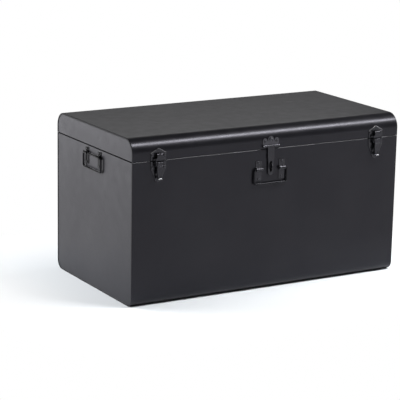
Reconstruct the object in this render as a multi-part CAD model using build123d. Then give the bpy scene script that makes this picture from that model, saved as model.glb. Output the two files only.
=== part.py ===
"""Sheet-steel storage trunk with a hinged lid, two draw latches, a hasp and three drop handles.

Frame: millimetres, +Z up, X along the length, front face towards -Y,
origin on the ground under the middle of the trunk.
"""
from build123d import *
import os
from math import cos, radians, sin

os.makedirs("parts", exist_ok=True)

# ---------------------------------------------------------------- driving dimensions
# Shell
TRUNK_LENGTH = 800.0
TRUNK_DEPTH = 426.0
RIM_HEIGHT = 372.0          # top of the body's walls
LID_GAP = 1.5               # slit between the body's rim and the lid's edge
LID_HEIGHT = 56.5           # from the lid's edge to its top
SHEET = 0.8                 # steel sheet of every shell panel
TOP_RADIUS = 37.0
BOTTOM_RADIUS = 24.0
SEAM_LIP = 4.5              # width of the wrap's edge folded over each end panel
SEAM_CLEARANCE = 0.1
PANEL_FLANGE = 12.0         # end panels' flange, spot-welded inside the wrap
HEM_HEIGHT = 6.0            # sheet folded back along the rim and along the lid's edge
HEM_ROUND = 0.6             # softened corner of the folded edge

# Collar that stands up inside the rim and guides the lid
COLLAR_RISE = 8.0
COLLAR_FIT = 0.2            # between the collar and the hems that carry it
COLLAR_STEP = 0.8           # the upper half is set in by this much, clear of the lid

# Channels spot-welded under the lid
STIFFENER_ROWS = (-42.0, 62.0)
STIFFENER_WIDTH = 24.0
STIFFENER_DEPTH = 9.0
STIFFENER_END_GAP = 45.0

# Hardware common to all fittings
PLATE = 1.5                 # steel strip of every plate, clip and leaf
PIN_FIT = 0.06              # radial clearance of a pin that turns
RUNNING_GAP = 0.3           # side clearance between parts that turn against each other
PLATE_MARGIN = 0.5          # fittings stop this far short of the lid gap
RIVET_RADIUS = 2.0
RIVET_HOLE_FIT = 0.05
RIVET_HEAD_RADIUS = 3.4
RIVET_HEAD_HEIGHT = 1.5
RIVET_TAIL_RADIUS = 3.0
RIVET_TAIL_HEIGHT = 1.0
CORNER_GRIP = 0.15          # extra grip of a rivet that closes where the lid starts to curve
BOSS_GRIP = 0.6             # the same for the boss, which sits further up the curve

# Back hinges
HINGE_INSET = 95.0          # from each end of the trunk to the middle of an outer hinge
HINGE_WIDTH = 60.0
HINGE_LEAF = 20.0           # from the axis to the leaf's edge
HINGE_PIN_RADIUS = 2.0
HINGE_RIVET_SPREAD = 20.0
HINGE_RIVET_REACH = 14.5
LID_OPENING = 100.0         # degrees

# Draw latches; heights are measured from the middle of the lid gap
LATCH_INSET = 72.0          # from each end of the trunk to a latch's middle
LATCH_WIDTH = 44.0
CATCH_SHOULDER = 20.5
CATCH_PEAK = 32.5
BASE_STRAIGHT = 20.0
BASE_DROP = 54.5
BASE_TIP_RADIUS = 11.0
LATCH_FACE = 11.5           # outer face of the lever and the link, from the trunk's skin
LATCH_PIVOT_DROP = 5.25
LATCH_PIVOT_STANDOFF = 7.5
LATCH_PIN_RADIUS = 1.5
LATCH_CRANK = 5.0           # from the lever's pivot to the link's pin
LINK_PIN_RADIUS = 1.25
LEVER_WIDTH = 16.0
LEVER_TIP_WIDTH = 10.0
LEVER_LENGTH = 41.0         # from the pivot down to the finger tip
LEVER_FLANGE_LENGTH = 28.0
LEVER_HOLE_RADIUS = 3.0
LEVER_HOLE_REACH = 31.5     # from the pivot down to the padlock hole
LEVER_TOP = 3.4             # web above the pivot
RIDGE_RADIUS = 1.1          # ribs pressed across the lever
CLAW_RISE = 15.25           # centre of the claw's bend
CLAW_TIP = 3.4              # straight tip below the bend
CLAW_CLEARANCE = 0.3
CATCH_WIDTH = 13.0
CATCH_LIP_STANDOFF = 7.8
CATCH_LIP_HEIGHT = 2.8
LATCH_RIVET_SPREAD = 17.0
CATCH_RIVET_RISE = 13.8
BASE_RIVET_DROP = 16.5
BASE_TAIL_RIVET_DROP = 46.0
LEVER_SWING = 120.0         # degrees

# Hasp; heights are measured from the middle of the lid gap
HASP_AXIS_RISE = 8.25
HASP_WIDTH = 49.0
HASP_PIN_RADIUS = 1.6
HASP_BAR_TOP = 21.0
HASP_LOBE_SPREAD = 17.5
HASP_LOBE_RISE = 22.0
HASP_LOBE_RADIUS = 6.5
HASP_CROWN_RISE = 23.3
HASP_CROWN_RADIUS = 9.5
HASP_RIVET_RISE = 19.8
BOSS_RADIUS = 6.2
BOSS_HEIGHT = 1.6
BOSS_RING_RADIUS = 4.6
BOSS_RING_WIRE = 1.1
STRAP_THICKNESS = 2.0
STRAP_WIDTH = 20.0
STRAP_END_WIDTH = 16.0
STRAP_BULGE_END = 29.0      # below the hinge axis
STRAP_NECK = 39.0
STRAP_LENGTH = 77.0
STRAP_SLOT_WIDTH = 7.0
STRAP_SLOT_LENGTH = 28.0
STAPLE_DROP = 54.0          # from the hasp's axis down to the staple's middle
STAPLE_WIRE_RADIUS = 1.75
STAPLE_HALF_HEIGHT = 7.0
STAPLE_REACH = 12.25
STRAP_SWING = 150.0         # degrees

# Drop handles
BAIL_ROD_RADIUS = 2.75
BAIL_STANDOFF = 4.5         # rod centre from the trunk's skin
BAIL_FIT = 0.25             # radial play of the rod in its clips
BAIL_DROP = 38.0
BAIL_UPPER_BEND = 4.5
BAIL_LOWER_BEND = 7.0
BAIL_STUB = 3.0             # the front bail's ends stand out of their clips by this much
CLIP_SPACING = 70.0
CLIP_WIDTH = 18.0
CLIP_RIVET_DROP = 25.0
CLIP_END_MARGIN = 5.0
FRONT_CLIP_RIVET_RISE = 17.5
FRONT_BAIL_DEPTH = 51.25    # from the middle of the lid gap down to the rod's axis
END_CLIP_RIVET_RISE = 9.5
END_BAIL_DEPTH = 19.75
BAIL_SWING = 165.0          # degrees

# Slotted lid stays, one at each end
STAY_RADIUS = 120.0         # from the lid's axis to both stay studs
STAY_ANGLE = 10.0           # each stud lies this many degrees above or below the lid's axis
STAY_THICKNESS = 2.0
STAY_WIDTH = 14.0
STAY_SLOT_MARGIN = 4.0
STAY_STUD_RADIUS = 2.5
STAY_SHOULDER_RADIUS = 5.0
STAY_HEAD_RADIUS = 5.5
STAY_HEAD_THICKNESS = 1.5
STAY_SLOT_FIT = 0.3
STAY_OFFSET = 4.2           # from the end panel's inner face to the arm

# ---------------------------------------------------------------- derived places
GAP_HEIGHT = RIM_HEIGHT + LID_GAP / 2
LID_EDGE = RIM_HEIGHT + LID_GAP
TRUNK_HEIGHT = LID_EDGE + LID_HEIGHT


def knuckle_radius(pin_radius):
    """Outer radius of a leaf rolled round a pin."""
    return pin_radius + PIN_FIT + PLATE


def knuckle_standoff(pin_radius):
    """Distance of a rolled hinge's axis from the trunk's skin."""
    return knuckle_radius(pin_radius) + RUNNING_GAP


LID_AXIS_Y = TRUNK_DEPTH / 2 + knuckle_standoff(HINGE_PIN_RADIUS)


# ---------------------------------------------------------------- drawing helpers
# Fittings are drawn in a flat frame on the trunk's skin: u to the right, v up, w outwards.
def on_front(x, z):
    """Place a fitting on the front face."""
    return Plane(origin=(x, -TRUNK_DEPTH / 2, z), x_dir=(1, 0, 0), z_dir=(0, -1, 0)).location


def on_back(x, z):
    """Place a fitting on the back face."""
    return Plane(origin=(x, TRUNK_DEPTH / 2, z), x_dir=(-1, 0, 0), z_dir=(0, 1, 0)).location


def on_end(side, z):
    """Place a fitting on the left (-1) or right (+1) end panel, which lies one sheet in."""
    skin = side * (TRUNK_LENGTH / 2 - SHEET)
    return Plane(origin=(skin, 0, z), x_dir=(0, side, 0), z_dir=(side, 0, 0)).location


def across(sketch, width, u=0.0):
    """Solid of a side view drawn as (w, v), as wide as given and centred on u."""
    side_view = Plane(origin=(u, 0, 0), x_dir=(0, 0, 1), z_dir=(-1, 0, 0))
    return extrude(side_view * sketch, amount=width / 2, both=True)


def raised(sketch, w_low, w_high):
    """Solid of a front view drawn as (u, v), between two distances from the skin."""
    return extrude(Pos(0, 0, w_low) * sketch, amount=w_high - w_low)


def rod_along(radius, width, w, v, u=0.0):
    """Straight rod along u."""
    return across(Pos(w, v) * Circle(radius), width, u)


def rectangle(low_x, high_x, low_y, high_y):
    """Rectangle between four limits."""
    centre = Pos((low_x + high_x) / 2, (low_y + high_y) / 2)
    return centre * Rectangle(high_x - low_x, high_y - low_y)


def outline(*points):
    """Flat face with straight sides through the points."""
    return make_face(Polyline(*points, close=True))


def rivet(grip=0.0):
    """Round-head rivet through a fitting's plate and the sheet behind it."""
    head = Pos(0, 0, PLATE + RIVET_HEAD_HEIGHT / 2) * Cylinder(RIVET_HEAD_RADIUS, RIVET_HEAD_HEIGHT)
    head = fillet(head.edges().sort_by(Axis.Z)[-1], RIVET_HEAD_HEIGHT * 0.75)
    return head + rivet_shank(grip)


def rivet_shank(grip):
    """Shank and peened tail of a rivet, from the front of a fitting's plate inwards."""
    tail_top = -SHEET - grip
    shank = Pos(0, 0, (PLATE + tail_top) / 2) * Cylinder(RIVET_RADIUS, PLATE - tail_top)
    tail = Pos(0, 0, tail_top - RIVET_TAIL_HEIGHT / 2) * Cylinder(RIVET_TAIL_RADIUS, RIVET_TAIL_HEIGHT)
    return shank + tail


def rivets_at(place, points, grip=0.0):
    """One rivet at each (u, v) of a fitting."""
    return [place * Pos(u, v, 0) * rivet(grip) for u, v in points]


def rivet_holes(points, radius=RIVET_RADIUS + RIVET_HOLE_FIT):
    """Drill cylinders through a fitting's plate and the sheet behind it."""
    depth = 2 * (PLATE + SHEET + RIVET_TAIL_HEIGHT)
    return [Pos(u, v, 0) * Cylinder(radius, depth) for u, v in points]


# ---------------------------------------------------------------- shell
def trunk_section(inset):
    """Cross-section of the closed trunk, drawn in from the outer skin by inset."""
    face = rectangle(inset - TRUNK_DEPTH / 2, TRUNK_DEPTH / 2 - inset, inset, TRUNK_HEIGHT - inset)
    face = fillet(face.vertices().sort_by(Axis.Y)[:2], BOTTOM_RADIUS - inset)
    return fillet(face.vertices().sort_by(Axis.Y)[-2:], TOP_RADIUS - inset)


def height_band(z_low, z_high):
    """Strip of the cross-section between two heights."""
    return rectangle(-TRUNK_DEPTH, TRUNK_DEPTH, z_low, z_high)


def along_length(section, length, x=0.0):
    """Solid of a cross-section, centred on x."""
    return extrude(Plane.YZ.offset(x) * section, amount=length / 2, both=True)


def soften_edge(shell, z_edge):
    """Round the long corners of a folded edge that lies at this height."""
    at_edge = shell.edges().filter_by(Axis.X).filter_by_position(Axis.Z, z_edge - 0.01, z_edge + 0.01)
    return fillet([e for e in at_edge if e.length > TRUNK_LENGTH / 2], HEM_ROUND)


def wrap(z_low, z_high, hem_low, hem_high):
    """Front, back and bottom (or top) in one bent sheet."""
    ring = (trunk_section(0) - trunk_section(SHEET)) & height_band(z_low, z_high)
    shell = along_length(ring, TRUNK_LENGTH)
    hem_length = TRUNK_LENGTH - 4 * SHEET - 2 * SEAM_CLEARANCE
    for side in (-1, 1):
        inner = side * (TRUNK_DEPTH / 2 - 2 * SHEET)
        outer = side * (TRUNK_DEPTH / 2 - SHEET)
        hem = rectangle(min(inner, outer), max(inner, outer), hem_low, hem_high)
        shell += along_length(hem, hem_length)
    return shell


def seam_lip(side, z_low, z_high):
    """Edge of a wrap, folded over the left (-1) or the right (+1) end panel."""
    lip = (trunk_section(SHEET) - trunk_section(SHEET + SEAM_LIP)) & height_band(z_low, z_high)
    return along_length(lip, SHEET, side * (TRUNK_LENGTH - SHEET) / 2)


def end_panel(side, z_low, z_high, hem_low, hem_high, flange_low, flange_high):
    """Flat end panel with its welding flange and folded edge."""
    outer = trunk_section(SHEET + SEAM_CLEARANCE)
    inner = trunk_section(2 * SHEET + SEAM_CLEARANCE)
    plate_x = TRUNK_LENGTH / 2 - 1.5 * SHEET
    panel = along_length(outer & height_band(z_low, z_high), SHEET, side * plate_x)
    ring = (outer - inner) & height_band(flange_low, flange_high)
    flange_x = TRUNK_LENGTH / 2 - SHEET - PANEL_FLANGE / 2
    panel += along_length(ring, PANEL_FLANGE, side * flange_x)
    hem_half = TRUNK_DEPTH / 2 - 2 * SHEET - SEAM_CLEARANCE
    hem = rectangle(-hem_half, hem_half, hem_low, hem_high)
    panel += along_length(hem, SHEET, side * (plate_x - SHEET))
    return panel


def body_panel(side):
    """End panel of the body."""
    hem_low = RIM_HEIGHT - HEM_HEIGHT
    return end_panel(side, 0, RIM_HEIGHT, hem_low, RIM_HEIGHT, 0, hem_low - SHEET)


def lid_panel(side):
    """End panel of the lid."""
    hem_high = LID_EDGE + HEM_HEIGHT
    return end_panel(side, LID_EDGE, TRUNK_HEIGHT, LID_EDGE, hem_high, hem_high + SHEET, TRUNK_HEIGHT)


def collar_profile(wall):
    """Section of a guide strip that stands inside a hem, with its upper half stepped in."""
    outer = wall - COLLAR_FIT
    inset = outer - COLLAR_STEP
    profile = rectangle(outer - SHEET, outer, RIM_HEIGHT - HEM_HEIGHT, RIM_HEIGHT - SHEET)
    profile += rectangle(inset - SHEET, outer, RIM_HEIGHT - 2 * SHEET, RIM_HEIGHT - SHEET)
    return profile + rectangle(inset - SHEET, inset, RIM_HEIGHT - SHEET, RIM_HEIGHT + COLLAR_RISE)


def long_collar(side):
    """Guide strip along the front (-1) or the back (+1)."""
    wall = TRUNK_DEPTH / 2 - 2 * SHEET
    length = TRUNK_LENGTH - 6 * SHEET - 2 * COLLAR_FIT
    strip = along_length(collar_profile(wall), length)
    return strip if side > 0 else mirror(strip, Plane.XZ)


def short_collar(side):
    """Guide strip along the left (-1) or the right (+1) end, between the long ones."""
    wall = TRUNK_LENGTH / 2 - 3 * SHEET
    half_length = TRUNK_DEPTH / 2 - 2 * SHEET - 2 * COLLAR_FIT - COLLAR_STEP - SHEET
    strip = extrude(Plane.XZ * collar_profile(wall), amount=half_length, both=True)
    return strip if side > 0 else mirror(strip, Plane.YZ)


def lid_stiffener(row):
    """Channel under the lid's top, its web against the sheet."""
    top = TRUNK_HEIGHT - SHEET
    half = STIFFENER_WIDTH / 2
    channel = rectangle(row - half, row + half, top - STIFFENER_DEPTH, top)
    channel -= rectangle(row - half + SHEET, row + half - SHEET, top - 2 * STIFFENER_DEPTH, top - SHEET)
    return along_length(channel, TRUNK_LENGTH - 2 * STIFFENER_END_GAP)


# ---------------------------------------------------------------- rolled hinges
def knuckle(pin_radius, length, u, direction):
    """Rolled eye with the strip that joins it to a leaf above (+1) or below (-1) the axis."""
    radius = knuckle_radius(pin_radius)
    axis_w = knuckle_standoff(pin_radius)
    far_v = direction * (radius + RUNNING_GAP)
    web = rectangle(RUNNING_GAP, RUNNING_GAP + PLATE, min(0, far_v), max(0, far_v))
    eye = web + Pos(axis_w, 0) * Circle(radius)
    eye -= Pos(axis_w, 0) * Circle(pin_radius + PIN_FIT)
    return across(eye, length, u)


def hinge_rivet_points(direction):
    """Rivets of one leaf."""
    v = direction * HINGE_RIVET_REACH
    return [(-HINGE_RIVET_SPREAD, v), (HINGE_RIVET_SPREAD, v)]


def hinge_leaf(direction):
    """Leaf above (+1) or below (-1) the lid's axis; the lid's leaf has the middle knuckle."""
    near = direction * (knuckle_radius(HINGE_PIN_RADIUS) + RUNNING_GAP)
    far = direction * HINGE_LEAF
    half = HINGE_WIDTH / 2
    leaf = raised(rectangle(-half, half, min(near, far), max(near, far)), 0, PLATE)
    pitch = HINGE_WIDTH / 3
    own = (0.0,) if direction > 0 else (-pitch, pitch)
    for u in own:
        leaf += knuckle(HINGE_PIN_RADIUS, pitch - RUNNING_GAP, u, direction)
    for hole in rivet_holes(hinge_rivet_points(direction)):
        leaf -= hole
    return leaf


def hinge_pin():
    """Pin through all three knuckles, with a head at each end."""
    axis_w = knuckle_standoff(HINGE_PIN_RADIUS)
    head_radius = knuckle_radius(HINGE_PIN_RADIUS) - PIN_FIT
    pin = rod_along(HINGE_PIN_RADIUS, HINGE_WIDTH + 2 * RUNNING_GAP, axis_w, 0)
    for end in (-1, 1):
        u = end * (HINGE_WIDTH / 2 + RUNNING_GAP + PLATE / 2)
        pin += rod_along(head_radius, PLATE, axis_w, 0, u)
    return pin


# ---------------------------------------------------------------- draw latch
PIVOT_V = -LATCH_PIVOT_DROP
LINK_PIN_V = PIVOT_V - LATCH_CRANK
EAR_INNER = LEVER_WIDTH / 2 + RUNNING_GAP
ARM_INNER = EAR_INNER + PLATE + RUNNING_GAP
CLAW_OUTER = (LATCH_FACE - PLATE - CLAW_CLEARANCE) / 2
CLAW_W = LATCH_FACE - CLAW_OUTER
CLAW_TIP_V = CLAW_RISE - CLAW_TIP
SHELF_TOP = CLAW_TIP_V - CLAW_CLEARANCE


def catch_rivet_points():
    """Rivets of a latch's plate on the lid."""
    return [(-LATCH_RIVET_SPREAD, CATCH_RIVET_RISE), (LATCH_RIVET_SPREAD, CATCH_RIVET_RISE)]


def base_rivet_points():
    """Rivets of a latch's plate on the body."""
    pair = [(side * LATCH_RIVET_SPREAD, -BASE_RIVET_DROP) for side in (-1, 1)]
    return pair + [(0, -BASE_TAIL_RIVET_DROP)]


def latch_catch():
    """House-shaped plate on the lid, with the hooked shelf that the claw grips."""
    half = LATCH_WIDTH / 2
    low = LID_GAP / 2 + PLATE_MARGIN
    face = outline(
        (-half, low), (half, low), (half, CATCH_SHOULDER), (0, CATCH_PEAK), (-half, CATCH_SHOULDER)
    )
    plate = raised(face, 0, PLATE)
    lip_face = CATCH_LIP_STANDOFF + PLATE
    hook = rectangle(0, lip_face, SHELF_TOP - PLATE, SHELF_TOP)
    hook += rectangle(CATCH_LIP_STANDOFF, lip_face, SHELF_TOP - PLATE, SHELF_TOP + CATCH_LIP_HEIGHT)
    plate += across(hook, CATCH_WIDTH)
    for hole in rivet_holes(catch_rivet_points()):
        plate -= hole
    return plate


def latch_base():
    """Shield-shaped plate on the body, with the two ears that carry the lever."""
    half = LATCH_WIDTH / 2
    top = -LID_GAP / 2 - PLATE_MARGIN
    tip_v = BASE_TIP_RADIUS - BASE_DROP
    face = outline(
        (-half, top), (half, top), (half, -BASE_STRAIGHT), (BASE_TIP_RADIUS, tip_v),
        (-BASE_TIP_RADIUS, tip_v), (-half, -BASE_STRAIGHT)
    )
    face += Pos(0, tip_v) * Circle(BASE_TIP_RADIUS)
    plate = raised(face, 0, PLATE)
    ear_radius = LATCH_PIN_RADIUS + PLATE + RUNNING_GAP
    ear = rectangle(0, LATCH_PIVOT_STANDOFF, PIVOT_V - ear_radius, PIVOT_V + ear_radius)
    ear += Pos(LATCH_PIVOT_STANDOFF, PIVOT_V) * Circle(ear_radius)
    ear -= Pos(LATCH_PIVOT_STANDOFF, PIVOT_V) * Circle(LATCH_PIN_RADIUS + RIVET_HOLE_FIT)
    for side in (-1, 1):
        plate += across(ear, PLATE, side * (EAR_INNER + PLATE / 2))
    for hole in rivet_holes(base_rivet_points()):
        plate -= hole
    return plate


def latch_pin():
    """Pin peened flush with the ears, on which the lever turns."""
    return rod_along(LATCH_PIN_RADIUS, 2 * (EAR_INNER + PLATE), LATCH_PIVOT_STANDOFF, PIVOT_V)


def latch_lever():
    """Channel-shaped lever with pressed ribs, a padlock hole and a rolled finger tip."""
    web_in = LATCH_FACE - PLATE
    top = PIVOT_V + LEVER_TOP
    tip_v = PIVOT_V - LEVER_LENGTH
    taper_v = PIVOT_V - LEVER_FLANGE_LENGTH
    half = LEVER_WIDTH / 2
    tip_half = LEVER_TIP_WIDTH / 2
    face = outline(
        (-half, top), (half, top), (half, taper_v + LATCH_CRANK), (tip_half, tip_v),
        (-tip_half, tip_v), (-half, taper_v + LATCH_CRANK)
    )
    lever = raised(face, web_in, LATCH_FACE)
    flange = outline(
        (web_in, top), (LATCH_PIVOT_STANDOFF - 1.5 * PLATE, top), (LATCH_PIVOT_STANDOFF - 2 * PLATE, PIVOT_V),
        (LATCH_PIVOT_STANDOFF - 2 * PLATE, LINK_PIN_V - 2 * PLATE), (web_in, taper_v)
    )
    flange -= Pos(LATCH_PIVOT_STANDOFF, PIVOT_V) * Circle(LATCH_PIN_RADIUS + PIN_FIT)
    flange -= Pos(LATCH_PIVOT_STANDOFF, LINK_PIN_V) * Circle(LINK_PIN_RADIUS + PIN_FIT)
    # the flanges end where the web starts to taper, so both stay inside the ears
    for side in (-1, 1):
        lever += across(flange, PLATE, side * (half - PLATE / 2))
    for v in (PIVOT_V + PLATE, LINK_PIN_V - 2 * LATCH_CRANK / 3):
        lever += rod_along(RIDGE_RADIUS, LEVER_WIDTH - PLATE, LATCH_FACE - RIDGE_RADIUS / 3, v)
    lever += rod_along(PLATE, LEVER_TIP_WIDTH, LATCH_FACE, tip_v + PLATE / 2)
    hole_v = PIVOT_V - LEVER_HOLE_REACH
    lever -= Pos(0, hole_v, LATCH_FACE) * Cylinder(LEVER_HOLE_RADIUS, 4 * PLATE)
    return lever


def latch_link():
    """Forked link: arms pinned to the lever, and a claw bent over the catch."""
    front_in = LATCH_FACE - PLATE
    yoke_low = 2 * PLATE
    yoke_high = yoke_low + 3 * PLATE
    arm_outer = ARM_INNER + PLATE
    bend = Circle(CLAW_OUTER) - Circle(CLAW_OUTER - PLATE)
    bend = Pos(CLAW_W, CLAW_RISE) * (bend & rectangle(-CLAW_OUTER, CLAW_OUTER, 0, CLAW_OUTER))
    tip_in = PLATE + CLAW_CLEARANCE
    claw = bend + rectangle(front_in, LATCH_FACE, yoke_low, CLAW_RISE)
    claw += rectangle(tip_in, tip_in + PLATE, CLAW_TIP_V, CLAW_RISE)
    link = across(claw, LEVER_WIDTH)
    link += raised(rectangle(-arm_outer, arm_outer, yoke_low, yoke_high), front_in, LATCH_FACE)
    eye_radius = LINK_PIN_RADIUS + PLATE
    arm = outline(
        (LATCH_PIVOT_STANDOFF - eye_radius, LINK_PIN_V), (LATCH_PIVOT_STANDOFF + eye_radius, LINK_PIN_V),
        (LATCH_FACE, yoke_low), (LATCH_FACE, yoke_high), (LATCH_PIVOT_STANDOFF, yoke_high)
    )
    arm += Pos(LATCH_PIVOT_STANDOFF, LINK_PIN_V) * Circle(eye_radius)
    for side in (-1, 1):
        link += across(arm, PLATE, side * (ARM_INNER + PLATE / 2))
    return link + rod_along(LINK_PIN_RADIUS, 2 * arm_outer, LATCH_PIVOT_STANDOFF, LINK_PIN_V)


# ---------------------------------------------------------------- hasp
HASP_AXIS_W = knuckle_standoff(HASP_PIN_RADIUS)
STRAP_KNUCKLE = STRAP_WIDTH


def hasp_rivet_points():
    """Rivets of the hasp's plate."""
    return [(-HASP_LOBE_SPREAD, HASP_RIVET_RISE), (HASP_LOBE_SPREAD, HASP_RIVET_RISE)]


def hasp_plate():
    """Lobed plate on the lid, with the outer knuckles of the strap's hinge."""
    half = HASP_WIDTH / 2
    low = HASP_AXIS_RISE + knuckle_radius(HASP_PIN_RADIUS) + RUNNING_GAP
    face = rectangle(-half, half, low, HASP_BAR_TOP)
    for side in (-1, 1):
        face += Pos(side * HASP_LOBE_SPREAD, HASP_LOBE_RISE) * Circle(HASP_LOBE_RADIUS)
    face += Pos(0, HASP_CROWN_RISE) * Circle(HASP_CROWN_RADIUS)
    plate = raised(face, 0, PLATE)
    inner = STRAP_KNUCKLE / 2 + RUNNING_GAP
    length = half - inner
    for side in (-1, 1):
        u = side * (inner + length / 2)
        plate += Pos(0, HASP_AXIS_RISE, 0) * knuckle(HASP_PIN_RADIUS, length, u, 1)
    for hole in rivet_holes(hasp_rivet_points() + [(0, HASP_CROWN_RISE)]):
        plate -= hole
    return plate


def hasp_boss():
    """Ringed button riveted through the middle of the hasp's plate."""
    face = PLATE + BOSS_HEIGHT
    button = Pos(0, 0, PLATE + BOSS_HEIGHT / 2) * Cylinder(BOSS_RADIUS, BOSS_HEIGHT)
    button = fillet(button.edges().sort_by(Axis.Z)[-1], BOSS_HEIGHT / 2)
    button += Pos(0, 0, face) * Torus(BOSS_RING_RADIUS, BOSS_RING_WIRE)
    return button + rivet_shank(BOSS_GRIP)


def hasp_pin():
    """Pin of the strap's hinge, flush with the outer knuckles."""
    return rod_along(HASP_PIN_RADIUS, HASP_WIDTH, HASP_AXIS_W, HASP_AXIS_RISE)


def hasp_strap():
    """Swinging strap with its knuckle, waist and staple slot, drawn down from the axis."""
    half = STRAP_WIDTH / 2
    end_half = STRAP_END_WIDTH / 2
    top = -HASP_PIN_RADIUS - PIN_FIT - PLATE / 2
    face = outline(
        (-half, top), (half, top), (half, -STRAP_BULGE_END), (end_half, -STRAP_NECK),
        (end_half, end_half - STRAP_LENGTH), (-end_half, end_half - STRAP_LENGTH),
        (-end_half, -STRAP_NECK), (-half, -STRAP_BULGE_END)
    )
    face += Pos(0, end_half - STRAP_LENGTH) * Circle(end_half)
    slot = Pos(0, -STAPLE_DROP) * Rot(0, 0, 90) * SlotOverall(STRAP_SLOT_LENGTH, STRAP_SLOT_WIDTH)
    strap = raised(face - slot, HASP_AXIS_W - STRAP_THICKNESS / 2, HASP_AXIS_W + STRAP_THICKNESS / 2)
    eye = Circle(knuckle_radius(HASP_PIN_RADIUS)) - Circle(HASP_PIN_RADIUS + PIN_FIT)
    strap += across(Pos(HASP_AXIS_W, 0) * eye, STRAP_KNUCKLE)
    return Pos(0, HASP_AXIS_RISE, 0) * strap


def staple_points():
    """Where the staple's legs pass through the front sheet."""
    middle = HASP_AXIS_RISE - STAPLE_DROP
    return [(0, middle - STAPLE_HALF_HEIGHT), (0, middle + STAPLE_HALF_HEIGHT)]


def hasp_staple():
    """Wire eye whose legs are peened over behind the front sheet."""
    bend_w = STAPLE_REACH - STAPLE_HALF_HEIGHT
    span = 2 * (STAPLE_HALF_HEIGHT + STAPLE_WIRE_RADIUS)
    middle = HASP_AXIS_RISE - STAPLE_DROP
    bow = Pos(0, middle, bend_w) * Rot(0, 90, 0) * Torus(STAPLE_HALF_HEIGHT, STAPLE_WIRE_RADIUS)
    bow &= Pos(0, middle, bend_w + span / 2) * Box(span, span, span)
    for _, v in staple_points():
        leg = Cylinder(STAPLE_WIRE_RADIUS, bend_w + SHEET)
        bow += Pos(0, v, (bend_w - SHEET) / 2) * leg
        tail = Cylinder(RIVET_TAIL_RADIUS, RIVET_TAIL_HEIGHT)
        bow += Pos(0, v, -SHEET - RIVET_TAIL_HEIGHT / 2) * tail
    return bow


# ---------------------------------------------------------------- drop handles
BAIL_LEG = CLIP_SPACING / 2 + CLIP_WIDTH / 2 + RUNNING_GAP + BAIL_UPPER_BEND


def clip_rivet_points(u, rise):
    """Rivets above and below a clip's hump."""
    return [(u, rise), (u, -CLIP_RIVET_DROP)]


def handle_rivet_points(rise):
    """Rivets of both clips of a handle."""
    left = clip_rivet_points(-CLIP_SPACING / 2, rise)
    return left + clip_rivet_points(CLIP_SPACING / 2, rise)


def bail_clip(u, rise):
    """Strip riveted above and below, humped over the bail's rod."""
    bore = BAIL_ROD_RADIUS + BAIL_FIT
    hump = bore + PLATE
    strip = rectangle(0, PLATE, -CLIP_RIVET_DROP - CLIP_END_MARGIN, rise + CLIP_END_MARGIN)
    strip += rectangle(0, BAIL_STANDOFF, -hump, hump)
    strip += Pos(BAIL_STANDOFF, 0) * Circle(hump)
    strip -= rectangle(-PLATE, BAIL_STANDOFF, -bore, bore)
    strip -= Pos(BAIL_STANDOFF, 0) * Circle(bore)
    clip = across(strip, CLIP_WIDTH, u)
    for hole in rivet_holes(clip_rivet_points(u, rise)):
        clip -= hole
    return clip


def rod_through(points, bends):
    """Round rod along a flat path of straight runs and bends, at the bail's standoff."""
    path = Pos(0, 0, BAIL_STANDOFF) * FilletPolyline(*points, radius=bends)
    start = Plane(origin=path @ 0, z_dir=path % 0)
    return sweep(start * Circle(BAIL_ROD_RADIUS), path=path)


def open_bail():
    """U-shaped bail whose ends turn in through the clips."""
    end = CLIP_SPACING / 2 - CLIP_WIDTH / 2 - BAIL_STUB
    points = [
        (-end, 0), (-BAIL_LEG, 0), (-BAIL_LEG, -BAIL_DROP),
        (BAIL_LEG, -BAIL_DROP), (BAIL_LEG, 0), (end, 0)
    ]
    return rod_through(points, [BAIL_UPPER_BEND, BAIL_LOWER_BEND, BAIL_LOWER_BEND, BAIL_UPPER_BEND])


def closed_bail():
    """Bail bent to a closed loop, its top bar running through both clips."""
    points = [(0, 0), (-BAIL_LEG, 0), (-BAIL_LEG, -BAIL_DROP), (0, -BAIL_DROP)]
    half = rod_through(points, [BAIL_UPPER_BEND, BAIL_LOWER_BEND])
    return half + mirror(half, Plane.YZ)


# ---------------------------------------------------------------- lid stays
def stay_point(angle):
    """Depth and height of a point that lies on the stay circle round the lid's axis."""
    y = LID_AXIS_Y - STAY_RADIUS * cos(radians(angle))
    return y, GAP_HEIGHT + STAY_RADIUS * sin(radians(angle))


def stud_distance(opening):
    """Distance between the lid's stud and the body's stud at a lid opening in degrees."""
    return 2 * STAY_RADIUS * sin(radians(STAY_ANGLE + opening / 2))


def inward_disc(side, radius, start, depth, y, z):
    """Cylinder along the length that starts this far inside an end panel's inner face."""
    x = TRUNK_LENGTH / 2 - 2 * SHEET - start - depth / 2
    return Pos(side * x, y, z) * Rot(0, 90, 0) * Cylinder(radius, depth)


def stay_stud(side, angle):
    """Shouldered stud welded to the inside of an end panel."""
    y, z = stay_point(angle)
    shoulder = STAY_OFFSET - RUNNING_GAP
    shank = STAY_OFFSET + STAY_THICKNESS + RUNNING_GAP
    stud = inward_disc(side, STAY_SHOULDER_RADIUS, 0, shoulder, y, z)
    stud += inward_disc(side, STAY_STUD_RADIUS, 0, shank, y, z)
    return stud + inward_disc(side, STAY_HEAD_RADIUS, shank, STAY_HEAD_THICKNESS, y, z)


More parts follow.
